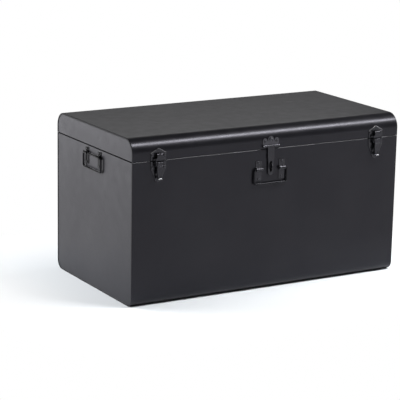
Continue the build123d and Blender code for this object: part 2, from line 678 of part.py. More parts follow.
def stay_arm(side):
    """Flat arm that hangs from the lid's stud and slides on the body's stud."""
    y, z = stay_point(STAY_ANGLE)
    half = STAY_WIDTH / 2
    low_end = -stud_distance(LID_OPENING) - STAY_SLOT_MARGIN
    high_end = -stud_distance(0) + STAY_SLOT_MARGIN
    bar = rectangle(-half, half, low_end, 0) + Circle(half) + Pos(0, low_end) * Circle(half)
    slot_half = STAY_STUD_RADIUS + STAY_SLOT_FIT
    bar -= rectangle(-slot_half, slot_half, low_end, high_end)
    bar -= Pos(0, low_end) * Circle(slot_half)
    bar -= Pos(0, high_end) * Circle(slot_half)
    bar -= Circle(STAY_STUD_RADIUS + PIN_FIT)
    x = TRUNK_LENGTH / 2 - 2 * SHEET - STAY_OFFSET - STAY_THICKNESS / 2
    arm = extrude(Plane.YZ * bar, amount=STAY_THICKNESS / 2, both=True)
    return Pos(side * x, y, z) * arm


# ---------------------------------------------------------------- assembly
LATCH_X = TRUNK_LENGTH / 2 - LATCH_INSET
HINGE_X = TRUNK_LENGTH / 2 - HINGE_INSET
SIDES = {"left": -1, "right": 1}
HINGES = {"left": -HINGE_X, "middle": 0.0, "right": HINGE_X}

parts = {}


def drilled(shell, places_and_points, radius=RIVET_RADIUS + RIVET_HOLE_FIT):
    """Shell sheet with the holes of the fittings riveted to it."""
    for place, points in places_and_points:
        for hole in rivet_holes(points, radius):
            shell -= place * hole
    return shell


latch_places = {name: on_front(side * LATCH_X, GAP_HEIGHT) for name, side in SIDES.items()}
hinge_places = {name: on_back(x, GAP_HEIGHT) for name, x in HINGES.items()}
hasp_place = on_front(0, GAP_HEIGHT)
front_handle = on_front(0, GAP_HEIGHT - FRONT_BAIL_DEPTH)
end_handles = {name: on_end(side, GAP_HEIGHT - END_BAIL_DEPTH) for name, side in SIDES.items()}

base_drill = [(place, base_rivet_points()) for place in latch_places.values()]
base_drill += [(place, hinge_rivet_points(-1)) for place in hinge_places.values()]
base_drill += [(front_handle, handle_rivet_points(FRONT_CLIP_RIVET_RISE))]
body_wrap = soften_edge(wrap(0, RIM_HEIGHT, RIM_HEIGHT - HEM_HEIGHT, RIM_HEIGHT), RIM_HEIGHT)
for side in SIDES.values():
    body_wrap += seam_lip(side, 0, RIM_HEIGHT)
body_wrap = drilled(body_wrap, base_drill)
staple_drill = [(hasp_place, staple_points())]
parts["body_wrap"] = drilled(body_wrap, staple_drill, STAPLE_WIRE_RADIUS + RIVET_HOLE_FIT)

lid_drill = [(place, catch_rivet_points()) for place in latch_places.values()]
lid_drill += [(place, hinge_rivet_points(1)) for place in hinge_places.values()]
lid_drill += [(hasp_place, hasp_rivet_points() + [(0, HASP_CROWN_RISE)])]
lid_wrap = soften_edge(wrap(LID_EDGE, TRUNK_HEIGHT, LID_EDGE, LID_EDGE + HEM_HEIGHT), LID_EDGE)
parts["lid_wrap"] = drilled(lid_wrap, lid_drill)

for name, side, row in (("front", -1, STIFFENER_ROWS[0]), ("rear", 1, STIFFENER_ROWS[1])):
    parts[f"mouth_collar_{name}"] = long_collar(side)
    parts[f"lid_stiffener_{name}"] = lid_stiffener(row)

handle_rivets = rivets_at(front_handle, handle_rivet_points(FRONT_CLIP_RIVET_RISE))
for name, side in SIDES.items():
    end_drill = [(end_handles[name], handle_rivet_points(END_CLIP_RIVET_RISE))]
    parts[f"body_end_{name}"] = drilled(body_panel(side), end_drill)
    parts[f"lid_end_{name}"] = lid_panel(side)
    parts[f"lid_wrap_fold_{name}"] = seam_lip(side, LID_EDGE, TRUNK_HEIGHT)
    parts[f"mouth_collar_{name}"] = short_collar(side)
    parts[f"stay_stud_{name}"] = stay_stud(side, -STAY_ANGLE)
    parts[f"stay_pivot_{name}"] = stay_stud(side, STAY_ANGLE)
    parts[f"stay_arm_{name}"] = stay_arm(side)
    handle_rivets += rivets_at(end_handles[name], handle_rivet_points(END_CLIP_RIVET_RISE))
    parts[f"{name}_bail"] = end_handles[name] * closed_bail()
    for clip_name, u_sign in (("front", -side), ("rear", side)):
        clip = bail_clip(u_sign * CLIP_SPACING / 2, END_CLIP_RIVET_RISE)
        parts[f"{name}_bail_clip_{clip_name}"] = end_handles[name] * clip
    place = latch_places[name]
    parts[f"latch_catch_{name}"] = place * latch_catch()
    parts[f"latch_base_{name}"] = place * latch_base()
    parts[f"latch_pin_{name}"] = place * latch_pin()
    parts[f"latch_lever_{name}"] = place * latch_lever()
    parts[f"latch_link_{name}"] = place * latch_link()
    front_clip = bail_clip(side * CLIP_SPACING / 2, FRONT_CLIP_RIVET_RISE)
    parts[f"front_bail_clip_{name}"] = front_handle * front_clip

for name, place in hinge_places.items():
    parts[f"hinge_body_leaf_{name}"] = place * hinge_leaf(-1)
    parts[f"hinge_lid_leaf_{name}"] = place * hinge_leaf(1)
    parts[f"hinge_pin_{name}"] = place * hinge_pin()

parts["front_bail"] = front_handle * open_bail()
parts["hasp_plate"] = hasp_place * hasp_plate()
parts["hasp_boss"] = hasp_place * Pos(0, HASP_CROWN_RISE, 0) * hasp_boss()
parts["hasp_pin"] = hasp_place * hasp_pin()
parts["hasp_strap"] = hasp_place * hasp_strap()
parts["hasp_staple"] = hasp_place * hasp_staple()

base_rivets = []
catch_rivets = rivets_at(hasp_place, hasp_rivet_points(), CORNER_GRIP)
for place in latch_places.values():
    base_rivets += rivets_at(place, base_rivet_points())
    catch_rivets += rivets_at(place, catch_rivet_points())
body_hinge_rivets = []
lid_hinge_rivets = []
for place in hinge_places.values():
    body_hinge_rivets += rivets_at(place, hinge_rivet_points(-1))
    lid_hinge_rivets += rivets_at(place, hinge_rivet_points(1))
parts["handle_rivets"] = Compound(children=handle_rivets)
parts["latch_base_rivets"] = Compound(children=base_rivets)
parts["lid_front_rivets"] = Compound(children=catch_rivets)
parts["hinge_body_rivets"] = Compound(children=body_hinge_rivets)
parts["hinge_lid_rivets"] = Compound(children=lid_hinge_rivets)

for name, shape in parts.items():
    export_step(shape, f"parts/{name}.step")
print(len(parts), "parts written")
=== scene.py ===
# %% [markdown]
# # A black sheet-steel storage trunk
#
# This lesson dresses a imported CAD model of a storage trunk: a body with a hinged lid, draw
# latches, a hasp and drop handles. The CAD model is loaded as a fixed frame that says where every
# piece is and which body it moves with. We then make the camera, the studio, the finishes and the
# smooth visible pieces around it.

import math

import bmesh
import bpy
from mathutils import Matrix, Vector


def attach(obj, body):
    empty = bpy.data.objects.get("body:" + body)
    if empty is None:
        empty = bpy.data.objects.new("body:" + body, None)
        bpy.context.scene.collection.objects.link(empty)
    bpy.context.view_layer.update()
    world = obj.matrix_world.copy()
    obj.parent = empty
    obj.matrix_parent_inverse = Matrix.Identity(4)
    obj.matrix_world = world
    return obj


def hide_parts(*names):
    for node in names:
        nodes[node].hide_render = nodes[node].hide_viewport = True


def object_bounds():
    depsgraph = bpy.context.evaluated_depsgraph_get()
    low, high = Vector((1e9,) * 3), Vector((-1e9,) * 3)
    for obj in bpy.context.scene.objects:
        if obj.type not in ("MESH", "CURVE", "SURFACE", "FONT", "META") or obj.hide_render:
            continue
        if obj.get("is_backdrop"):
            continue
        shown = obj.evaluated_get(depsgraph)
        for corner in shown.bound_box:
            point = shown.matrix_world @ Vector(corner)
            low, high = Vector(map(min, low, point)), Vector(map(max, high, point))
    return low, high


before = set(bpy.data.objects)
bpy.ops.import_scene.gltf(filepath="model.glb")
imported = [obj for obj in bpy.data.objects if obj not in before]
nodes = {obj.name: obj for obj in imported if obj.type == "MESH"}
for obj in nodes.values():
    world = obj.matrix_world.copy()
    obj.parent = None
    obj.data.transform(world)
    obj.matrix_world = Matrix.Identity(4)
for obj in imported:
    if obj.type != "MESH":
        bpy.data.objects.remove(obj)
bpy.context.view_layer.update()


# %% [markdown]
# ## The camera
#
# A photograph's perspective is set by where the camera stands, and the lens only crops it. The
# straight edges of the trunk were followed to their vanishing points, which gives a camera 4.6 m
# away, 29 degrees to the left of the front and 14 degrees above the middle. We aim it with a
# matrix built from those angles, and a small lens shift moves the frame without turning the view.

# %% Camera
MM = 0.001
VIEW_AZIMUTH = math.radians(-29.31)
VIEW_ELEVATION = math.radians(14.20)
VIEW_ROLL = math.radians(0.80)
VIEW_DISTANCE = 4587.7 * MM
VIEW_TARGET = Vector((-176.56, 0.0, 169.48)) * MM
LENS = 156.1
LENS_SHIFT = (0.0783, 0.0366)

back = Vector((
    math.sin(VIEW_AZIMUTH) * math.cos(VIEW_ELEVATION),
    -math.cos(VIEW_AZIMUTH) * math.cos(VIEW_ELEVATION),
    math.sin(VIEW_ELEVATION),
))
level_right = Vector((0, 0, 1)).cross(back).normalized()
level_up = back.cross(level_right)
right = math.cos(VIEW_ROLL) * level_right + math.sin(VIEW_ROLL) * level_up
up = math.cos(VIEW_ROLL) * level_up - math.sin(VIEW_ROLL) * level_right
turn = Matrix((right, up, back)).transposed()

camera_data = bpy.data.cameras.new("camera")
camera_data.lens = LENS
camera_data.shift_x, camera_data.shift_y = LENS_SHIFT
camera = bpy.data.objects.new("camera", camera_data)
camera.matrix_world = Matrix.Translation(VIEW_TARGET + back * VIEW_DISTANCE) @ turn.to_4x4()
bpy.context.scene.collection.objects.link(camera)
bpy.context.scene.camera = camera
print("camera at", tuple(round(v, 3) for v in camera.matrix_world.translation))


# %% [markdown]
# ## The floor
#
# The trunk stands on plain white paper. A black object would look grey if we poured in enough
# light to burn the paper out, so the light stays plain, and the paper only glows for rays that
# look straight at it, for its mirror image in a glossy surface and through glass. The glow fades in
# with the distance from the trunk's footprint. Close by, the paper is ordinary matt white, so that
# it still takes the trunk's shadow.

# %% Helpers for materials
def deselect_all():
    """Operators act on what is selected, so each step starts with nothing selected."""
    if bpy.context.mode != "OBJECT":
        bpy.ops.object.mode_set(mode="OBJECT")
    bpy.ops.object.select_all(action="DESELECT")


def new_material(name):
    """An empty node material with its Principled shader."""
    material = bpy.data.materials.new(name)
    material.use_nodes = True
    tree = material.node_tree
    return material, tree, tree.nodes["Principled BSDF"]


def computed(tree, operation, *values, kind="ShaderNodeMath"):
    """One step of arithmetic on sockets, numbers or vectors."""
    step = tree.nodes.new(kind)
    step.operation = operation
    for socket, value in zip(step.inputs, values):
        if isinstance(value, bpy.types.NodeSocket):
            tree.links.new(value, socket)
        else:
            socket.default_value = value
    return step.outputs["Value" if operation == "LENGTH" else 0]


# %% Floor
FLOOR_SIZE = 80.0
FLOOR_COLOUR = (0.885, 0.920, 0.950, 1.0)
FOOTPRINT = (0.400, 0.213)
GLOW_STARTS = 0.0
GLOW_FULL = 0.37

deselect_all()
bpy.ops.mesh.primitive_plane_add(size=FLOOR_SIZE, location=(0, 0, 0))
floor = bpy.context.active_object
floor.name = "floor"
floor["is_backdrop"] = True

floor_paper, tree, shader = new_material("floor_paper")
shader.inputs["Base Color"].default_value = FLOOR_COLOUR
shader.inputs["Roughness"].default_value = 1.0
shader.inputs["Specular IOR Level"].default_value = 0.0

ray = tree.nodes.new("ShaderNodeLightPath").outputs
looked_at = computed(tree, "ADD", ray["Is Camera Ray"], ray["Is Glossy Ray"])
looked_at = computed(tree, "ADD", looked_at, ray["Is Transmission Ray"])
looked_at.node.use_clamp = True

VECTOR = "ShaderNodeVectorMath"
place = tree.nodes.new("ShaderNodeTexCoord").outputs["Object"]
quadrant = computed(tree, "ABSOLUTE", place, kind=VECTOR)
beyond = computed(tree, "SUBTRACT", quadrant, (*FOOTPRINT, 0), kind=VECTOR)
outside = computed(tree, "MAXIMUM", beyond, (0, 0, 0), kind=VECTOR)
fade = tree.nodes.new("ShaderNodeMapRange")
fade.interpolation_type = "SMOOTHSTEP"
fade.inputs["From Min"].default_value = GLOW_STARTS
fade.inputs["From Max"].default_value = GLOW_FULL
tree.links.new(computed(tree, "LENGTH", outside, kind=VECTOR), fade.inputs["Value"])
amount = computed(tree, "MULTIPLY", looked_at, fade.outputs["Result"])

glow = tree.nodes.new("ShaderNodeEmission")
mix = tree.nodes.new("ShaderNodeMixShader")
tree.links.new(amount, mix.inputs[0])
tree.links.new(shader.outputs[0], mix.inputs[1])
tree.links.new(glow.outputs[0], mix.inputs[2])
tree.links.new(mix.outputs[0], tree.nodes["Material Output"].inputs["Surface"])
floor.data.materials.append(floor_paper)
print("floor", FLOOR_SIZE, "m wide, glowing", GLOW_FULL, "m beyond the trunk")


# %% [markdown]
# ## The light
#
# Black paint gives back almost no light of its own: what we see on it is the room. The room itself
# is a plain dark grey, so that the front stays dark.

# %% Room
ROOM_GREY = 0.08
world = bpy.data.worlds.new("room")
bpy.context.scene.world = world
world.use_nodes = True
room = world.node_tree.nodes["Background"]
room.inputs["Color"].default_value = (1, 1, 1, 1)
room.inputs["Strength"].default_value = ROOM_GREY
print("room grey", ROOM_GREY)


# %% [markdown]
# Soft lamps do the rest. A large one low behind the left end makes that end the brightest side. It
# would burn out the lid's top for an eye on the right, so a light linking collection names what it
# lights: the end panels, once they are made. A weaker twin in the same place lights the floor alone,
# and leaves the trunk's soft shadow on it. A long narrow lamp overhead, parallel to the lid's front
# edge, draws the bright line along that edge. Two weak ones fill the right end and the back.

# %% Lamps
def soft_lamp(name, place, aim, width, height, power):
    """A rectangular lamp that looks at a point and isn't seen by the camera."""
    data = bpy.data.lights.new(name, "AREA")
    data.shape = "RECTANGLE"
    data.size = width
    data.size_y = height
    data.energy = power
    lamp = bpy.data.objects.new(name, data)
    lamp.visible_camera = False
    direction = Vector(aim) - Vector(place)
    lamp.matrix_world = Matrix.Translation(place) @ direction.to_track_quat("-Z", "Y").to_matrix().to_4x4()
    bpy.context.scene.collection.objects.link(lamp)
    return lamp


back_left_panels = bpy.data.collections.new("lit_by_back_left")
floor_only = bpy.data.collections.new("lit_by_back_floor")
floor_only.objects.link(floor)
for name, power, receivers in (("lamp_back_left", 450, back_left_panels), ("lamp_back_floor", 270, floor_only)):
    lamp = soft_lamp(name, (-2.6, 2.4, 1.3), (-0.4, 0.0, 0.2), width=3.0, height=2.2, power=power)
    lamp.light_linking.receiver_collection = receivers
soft_lamp("lamp_overhead", (1.32, -1.21, 2.31), (1.32, -0.2, 0.42), width=1.9, height=0.24, power=84)
soft_lamp("lamp_right", (3.0, -0.2, 1.5), (0.3, 0, 0.3), width=1.4, height=1.4, power=40)
soft_lamp("lamp_behind", (0.9, 2.4, 1.5), (0, 0, 0.4), width=2.4, height=0.8, power=4.8)
bpy.context.scene.view_settings.view_transform = "Standard"


# %% [markdown]
# ## The finishes
#
# The trunk is sprayed with dry black powder and baked. The melted powder leaves a satin skin with a
# fine grain that you feel more than see, and the thin sheet under it is never quite flat. We make
# both from noise in Object coordinates, so that the pattern keeps its size on every piece: a fine
# noise as bump for the grain, a slow one for the waves of the sheet, and a third for dust and
# handling marks in the colour and the roughness. Pictures of paint would need every piece unwrapped.

# %% Noise and bump
def noise(tree, coordinates, scale, detail=2.0):
    """Noise with this many cells to a metre."""
    texture = tree.nodes.new("ShaderNodeTexNoise")
    texture.inputs["Scale"].default_value = scale
    texture.inputs["Detail"].default_value = detail
    tree.links.new(coordinates, texture.inputs["Vector"])
    return texture.outputs["Fac"]


def graded(tree, value, low, high, out_low, out_high):
    """Turn a noise between two limits into a number between two others."""
    grade = tree.nodes.new("ShaderNodeMapRange")
    for name, number in (("From Min", low), ("From Max", high), ("To Min", out_low), ("To Max", out_high)):
        grade.inputs[name].default_value = number
    tree.links.new(value, grade.inputs["Value"])
    return grade.outputs["Result"]


def blended(tree, factor, first, second):
    """Mix two plain colours by a factor."""
    mix = tree.nodes.new("ShaderNodeMix")
    mix.data_type = "RGBA"
    mix.inputs["A"].default_value = (*first, 1)
    mix.inputs["B"].default_value = (*second, 1)
    tree.links.new(factor, mix.inputs["Factor"])
    return mix.outputs["Result"]


def bumped(tree, height, depth, below=None):
    """Add a layer of bump this deep, in metres, over the one below."""
    bump = tree.nodes.new("ShaderNodeBump")
    bump.inputs["Distance"].default_value = depth
    tree.links.new(height, bump.inputs["Height"])
    if below is not None:
        tree.links.new(below, bump.inputs["Normal"])
    return bump.outputs["Normal"]


# %% Powder coat
# The cool Specular Tint of every coat is a painted tint of the light in its reflections, not the paint's own
# colour.
COOL_LIGHT_TINT = (0.89, 0.875, 1.0)
DUST_SCALE, MARK_SCALE, WAVE_SCALE, GRAIN_SCALE = 7.0, 38.0, 5.0, 900.0
MARK_SPREAD = 0.03


def powder_coat(name, colour, dusty, roughness, grain, waves, ior):
    """Baked powder: fine grain, slow waves of the sheet, and a breath of dust."""
    material, tree, shader = new_material(name)
    here = tree.nodes.new("ShaderNodeTexCoord").outputs["Object"]
    dust = graded(tree, noise(tree, here, DUST_SCALE, 6.0), 0.42, 0.72, 0.0, 1.0)
    tree.links.new(blended(tree, dust, colour, dusty), shader.inputs["Base Color"])
    marks = graded(
        tree, noise(tree, here, MARK_SCALE, 5.0), 0.3, 0.7, roughness - MARK_SPREAD, roughness + MARK_SPREAD)
    tree.links.new(marks, shader.inputs["Roughness"])
    shader.inputs["IOR"].default_value = ior
    shader.inputs["Specular Tint"].default_value = (*COOL_LIGHT_TINT, 1)
    sheet = bumped(tree, noise(tree, here, WAVE_SCALE, 1.0), waves)
    tree.links.new(bumped(tree, noise(tree, here, GRAIN_SCALE), grain, sheet), shader.inputs["Normal"])
    return material


SHELL_COAT = {"colour": (0.0055, 0.0053, 0.0070), "dusty": (0.0090, 0.0088, 0.0105),
              "roughness": 0.32, "grain": 0.00002, "waves": 0.0004, "ior": 1.385}
shell_paint = powder_coat("shell_powder_coat", **SHELL_COAT)
inner_paint = powder_coat(
    "inner_powder_coat", colour=(0.006, 0.006, 0.007), dusty=(0.012, 0.012, 0.013),
    roughness=0.60, grain=0.00003, waves=0.0004, ior=1.15)
print("two coats for the sheets, tinted", COOL_LIGHT_TINT)

# %% [markdown]
# The fittings are dipped in a smoother enamel, and each kind has its own gloss: the hasp plate is the
# shiniest, the handles are dulled by hands. A higher index of refraction makes a shinier enamel.

# %% Enamel of the fittings
FITTING_COAT = {"colour": (0.0070, 0.0070, 0.0080), "dusty": (0.0120, 0.0120, 0.0130),
                "roughness": 0.20, "grain": 0.00002, "waves": 0.0, "ior": 1.48}
fitting_paint = powder_coat("fitting_paint", **FITTING_COAT)
hasp_paint = powder_coat(
    "hasp_paint", colour=(0.0090, 0.0090, 0.0100), dusty=(0.0160, 0.0160, 0.0170),
    roughness=0.17, grain=0.00002, waves=0.0, ior=1.70)
handle_paint = powder_coat(
    "handle_paint", colour=(0.0060, 0.0060, 0.0070), dusty=(0.0110, 0.0110, 0.0120),
    roughness=0.25, grain=0.00001, waves=0.0, ior=1.30)
rivet_paint = powder_coat(
    "rivet_paint", colour=(0.0120, 0.0120, 0.0130), dusty=(0.0220, 0.0220, 0.0230),
    roughness=0.24, grain=0.00001, waves=0.0, ior=1.5)
print("four enamels")

# %% [markdown]
# Paint turns to metallic steel in narrow bands. On the finger tips of the latch levers that is wear
# together with a painted highlight; along the roof line of the latch plates and on the rim under the
# lid it is a painted highlight, a bright line of metal standing in for light caught there. One could
# paint a mask by hand, but here a height says enough. A fine noise makes the edge of the band ragged,
# and where the steel is bare the shader becomes metallic.

# %% Worn paint and painted highlights
RAGGED = 0.0004
# Heights where the metallic bands begin and end: the lever tip's band is wear with a painted highlight, the roof
# line's and the rim's are painted highlights.
LEVER_TIP_WEAR_AND_HIGHLIGHT = (0.3288, 0.3303)
ROOF_LINE_PAINTED_HIGHLIGHT = (0.4046, 0.4040)
ROOF_SLOPE, ROOF_RIDGE = 0.568, 0.328
RIM_PAINTED_HIGHLIGHT = (0.3718, 0.3712)


def wear_and_painted_highlight(material, bare_and_highlit_at, painted_at, steel, slope=0.0, ridge=0.0):
    """Turn the paint to metallic steel towards a height, or towards a roof line with its ridge at +x and -x:
    wear where paint is rubbed off, and a painted highlight where the band stands in for a bright line.
    """
    tree = material.node_tree
    shader = tree.nodes["Principled BSDF"]
    here = tree.nodes.new("ShaderNodeTexCoord").outputs["Object"]
    place = tree.nodes.new("ShaderNodeSeparateXYZ")
    tree.links.new(here, place.inputs[0])
    height = place.outputs["Z"]
    if slope:
        from_ridge = computed(tree, "SUBTRACT", computed(tree, "ABSOLUTE", place.outputs["X"]), ridge)
        along = computed(tree, "ABSOLUTE", from_ridge)
        height = computed(tree, "ADD", height, computed(tree, "MULTIPLY", along, slope))
    ragged = graded(tree, noise(tree, here, 600.0, 4.0), 0.3, 0.7, -RAGGED, RAGGED)
    bare_and_highlit = graded(tree, computed(tree, "ADD", height, ragged), bare_and_highlit_at, painted_at, 1.0, 0.0)
    worn_and_highlit = blended(tree, bare_and_highlit, (0, 0, 0), steel)
    tree.links.new(shader.inputs["Base Color"].links[0].from_socket, worn_and_highlit.node.inputs["A"])
    tree.links.new(worn_and_highlit, shader.inputs["Base Color"])
    tree.links.new(bare_and_highlit, shader.inputs["Metallic"])


# The lever's bare tip is wear together with a painted highlight on the rolled finger tip.
lever_wear_and_highlight_paint = powder_coat("lever_wear_and_highlight_paint", **FITTING_COAT)
wear_and_painted_highlight(lever_wear_and_highlight_paint, *LEVER_TIP_WEAR_AND_HIGHLIGHT, (0.30, 0.30, 0.31))
# Along the roof line of the catch plates the metallic band is a painted highlight, standing in for light on the
# rolled edge.
catch_roof_highlight_paint = powder_coat("catch_roof_highlight_paint", **FITTING_COAT)
wear_and_painted_highlight(catch_roof_highlight_paint, *ROOF_LINE_PAINTED_HIGHLIGHT, (0.22, 0.22, 0.225), slope=ROOF_SLOPE, ridge=ROOF_RIDGE)
# The rim's metallic band is a painted highlight: it brightens the line along the gap under the lid.
rim_highlight_paint = powder_coat("rim_painted_highlight_coat", **SHELL_COAT)
wear_and_painted_highlight(rim_highlight_paint, *RIM_PAINTED_HIGHLIGHT, (0.080, 0.080, 0.085))
print("three worn coats, ragged by", RAGGED, "m")

# %% [markdown]
# The lid stays inside are bare zinc-plated steel, a metal with a spangle of lighter and darker
# grains. Cells would be truer to it, but it is only ever seen small, so plain noise will do.

# %% Zinc plate
zinc_plate, tree, shader = new_material("zinc_plate")
here = tree.nodes.new("ShaderNodeTexCoord").outputs["Object"]
spangle = blended(tree, noise(tree, here, 60.0, 4.0), (0.40, 0.41, 0.43), (0.58, 0.58, 0.59))
tree.links.new(spangle, shader.inputs["Base Color"])
tree.links.new(graded(tree, noise(tree, here, 220.0, 3.0), 0.3, 0.7, 0.28, 0.42), shader.inputs["Roughness"])
tree.links.new(bumped(tree, noise(tree, here, 700.0), 0.00002), shader.inputs["Normal"])
shader.inputs["Metallic"].default_value = 1.0
print(len(bpy.data.materials), "materials")


# %% [markdown]
# ## Softening the CAD pieces
#
# A CAD mesh is made of loose triangles with razor edges, and real steel has none. We leave those
# meshes as they are and lay live modifiers over them: Weld joins the triangles, and Bevel rounds
# each sharp edge by a fraction of a millimetre, which gives it the thin bright line of painted metal.

# %% Finish of the CAD pieces
EDGE_ROUND = 0.2 * MM
SHARP_ANGLE = math.radians(38)

node_finish = {"shell": shell_paint, "inner_steel": inner_paint, "hardware": fitting_paint,
               "lever": fitting_paint, "rivets": rivet_paint, "stay": zinc_plate}
shell_names = ("body_wrap", "body_end", "lid_wrap", "lid_end")


def slot_of(name):
    """Material slot of a CAD node."""
    if name.startswith(shell_names):
        return "shell"
    if "rivets" in name:
        return "rivets"
    if name.startswith("latch_lever"):
        return "lever"
    if name.startswith(("mouth_collar", "lid_stiffener")):
        return "inner_steel"
    return "stay" if name.startswith("stay_") else "hardware"


for name, node in nodes.items():
    node.data.materials.clear()
    node.data.materials.append(node_finish[slot_of(name)])
    node.data.polygons.foreach_set("use_smooth", [True] * len(node.data.polygons))
    weld = node.modifiers.new("weld", "WELD")
    weld.merge_threshold = 0.005 * MM
    round_edges = node.modifiers.new("round_edges", "BEVEL")
    round_edges.width = EDGE_ROUND
    round_edges.segments = 2
    round_edges.limit_method = "ANGLE"
    round_edges.angle_limit = SHARP_ANGLE
    round_edges.harden_normals = True
print("softened", len(nodes), "CAD pieces")


# %% [markdown]
# ## Working in edit mode
#
# Each visible piece starts as a box or a circle at its real size and place. We open it in edit
# mode, pick faces or edges by where they are, and shape them with the same tools one would use by
# hand. These few helpers open a piece, pick in it and close it again.

# %% Starting and opening a piece
def settled(name):
    """Name the new primitive and put its place, turn and size into its mesh."""
    piece = bpy.context.active_object
    piece.name = name
    bpy.ops.object.transform_apply(location=True, rotation=True, scale=True)
    return piece


def add_box(name, low, high):
    """A box between two corners given in millimetres."""
    deselect_all()
    centre = [(a + b) / 2 * MM for a, b in zip(low, high)]
    size = [(b - a) * MM for a, b in zip(low, high)]
    bpy.ops.mesh.primitive_cube_add(size=1, location=centre, scale=size)
    return settled(name)


def select_alone(piece):
    """Select one piece and make it the active one."""
    deselect_all()
    piece.select_set(True)
    bpy.context.view_layer.objects.active = piece


def open_piece(piece):
    """Open one piece alone in edit mode."""
    select_alone(piece)
    bpy.ops.object.mode_set(mode="EDIT")


# %% [markdown]
# Edges and faces are picked by where they are and which way they run. Their numbers change with
# every cut, so a pick by number would break as soon as a size changes.

# %% Picking by place
NEAR = 0.01
ALONG = 0.99


def middle(item):
    """Middle of a corner, an edge or a face, in millimetres."""
    corners = [item] if isinstance(item, bmesh.types.BMVert) else item.verts
    return sum((v.co for v in corners), Vector()) / len(corners) / MM


def pick(kind, test):
    """Select the corners, edges or faces of the open piece that pass a test."""
    bpy.ops.mesh.select_mode(type=kind)
    bpy.ops.mesh.select_all(action="DESELECT")
    mesh = bmesh.from_edit_mesh(bpy.context.edit_object.data)
    items = {"VERT": mesh.verts, "EDGE": mesh.edges, "FACE": mesh.faces}[kind]
    for item in items:
        if test(item):
            item.select_set(True)
    bmesh.update_edit_mesh(bpy.context.edit_object.data)


def edges_along(axis, *limits):
    """A test for edges along an axis whose middle lies within limits of (axis, low, high)."""
    def test(edge):
        run = edge.verts[1].co - edge.verts[0].co
        at = middle(edge)
        along = abs(run[axis]) > ALONG * run.length
        return along and all(low - NEAR <= at[i] <= high + NEAR for i, low, high in limits)
    return test


def faces_towards(direction, *limits):
    """A test for faces that look along a direction and whose middle lies within limits."""
    def test(face):
        at = middle(face)
        inside = all(low - NEAR <= at[i] <= high + NEAR for i, low, high in limits)
        return face.normal.dot(direction) > ALONG and inside
    return test


# %% Cutting, closing and dressing
def bisect_at(height, clear_above=False, clear_below=False):
    """Cut the open piece at a height in millimetres, and drop a side if asked."""
    bpy.ops.mesh.select_all(action="SELECT")
    bpy.ops.mesh.bisect(plane_co=(0, 0, height * MM), plane_no=(0, 0, 1),
                        clear_outer=clear_above, clear_inner=clear_below)


def leave_piece():
    """Leave edit mode with the piece as it is."""
    bpy.ops.object.mode_set(mode="OBJECT")


def round_picked(radius, steps):
    """Round the picked edges, or the rims of the picked faces, in millimetres."""
    bpy.ops.mesh.bevel(offset=radius * MM, segments=steps)


def close_piece(piece, smooth_angle=35.0):
    """Leave edit mode with faces outwards and a smooth finish that keeps sharp corners."""
    bpy.ops.mesh.select_all(action="SELECT")
    bpy.ops.mesh.remove_doubles(threshold=0.001 * MM)
    bpy.ops.mesh.normals_make_consistent(inside=False)
    bpy.ops.object.mode_set(mode="OBJECT")
    bpy.ops.object.shade_smooth_by_angle(angle=math.radians(smooth_angle))


def apply_modifier(piece, kind, **settings):
    """Add a modifier with these settings and apply it."""
    modifier = piece.modifiers.new(kind.lower(), kind)
    for key, value in settings.items():
        setattr(modifier, key, value)
    bpy.context.view_layer.objects.active = piece
    bpy.ops.object.modifier_apply(modifier=modifier.name)


def dress(piece, body, material, *replaced):
    """Give a finished piece its finish, the body it moves with and the CAD nodes that it stands for."""
    piece.data.materials.clear()
    piece.data.materials.append(material)
    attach(piece, body)
    if replaced:
        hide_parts(*replaced)
    print(piece.name, len(piece.data.polygons), "faces")


# %% [markdown]
# ## The two bent skins
#
# The body's front, bottom and back are one long sheet bent round the end panels, and so are the
# lid's front, top and back. We bevel the long edges of a box to the bending radius, fold a narrow
# lip over each end with an inset, open the mouth with a bisect, and give the sheet its thickness
# with Solidify. The raw edge of the mouth is folded back on itself, which we make by extruding the
# inside of the sheet along the rim. Its rounded corner catches the light along the gap, and a painted
# highlight on the body's rim coat brightens that line.
#
# Two channels are spot-welded under the lid's top, and each weld leaves a shallow dimple there. A
# bump texture would do in a picture, but the shape should be in the mesh, so a small square is cut
# out of the flat top, subdivided and pressed in with a proportional move.

# %% Weld dimples
DIMPLE_PATCH = 12.0
DIMPLE_CUTS = 11
DIMPLE_REACH = 11.0
DIMPLE_DEPTH = 0.7


def weld_dimple(x, y, z):
    """A shallow dent where a spot weld's electrode pressed on a flat top."""
    for axis, at in ((0, x), (1, y)):
        for side in (-1, 1):
            pick("FACE", lambda f: f.normal.z > ALONG and abs(middle(f).z - z) < NEAR)
            point, normal = Vector(), Vector()
            point[axis], normal[axis] = (at + side * DIMPLE_PATCH) * MM, 1.0
            bpy.ops.mesh.bisect(plane_co=point, plane_no=normal)
    spot = Vector((x, y, z))
    pick("FACE", lambda f: f.normal.z > ALONG and (middle(f) - spot).length < DIMPLE_PATCH / 2)
    bpy.ops.mesh.subdivide(number_cuts=DIMPLE_CUTS)
    pick("VERT", lambda v: (middle(v) - spot).length < 0.3)
    bpy.ops.transform.translate(
        value=(0, 0, -DIMPLE_DEPTH * MM), use_proportional_edit=True, proportional_edit_falloff="SMOOTH",
        proportional_size=DIMPLE_REACH * MM)


# %% Bent skin
LENGTH, DEPTH, HEIGHT = 800.0, 426.0, 430.0
RIM, LID_EDGE = 372.0, 373.5
SHEET = 0.8
LIP = 4.5
FOLD_ROUND = 1.0
HEM = 6.0
RIM_ROUND = 1.1
SHOULDER_ROUND = 1.5
SEAM_CREST = 0.5
SPARE = 12.0


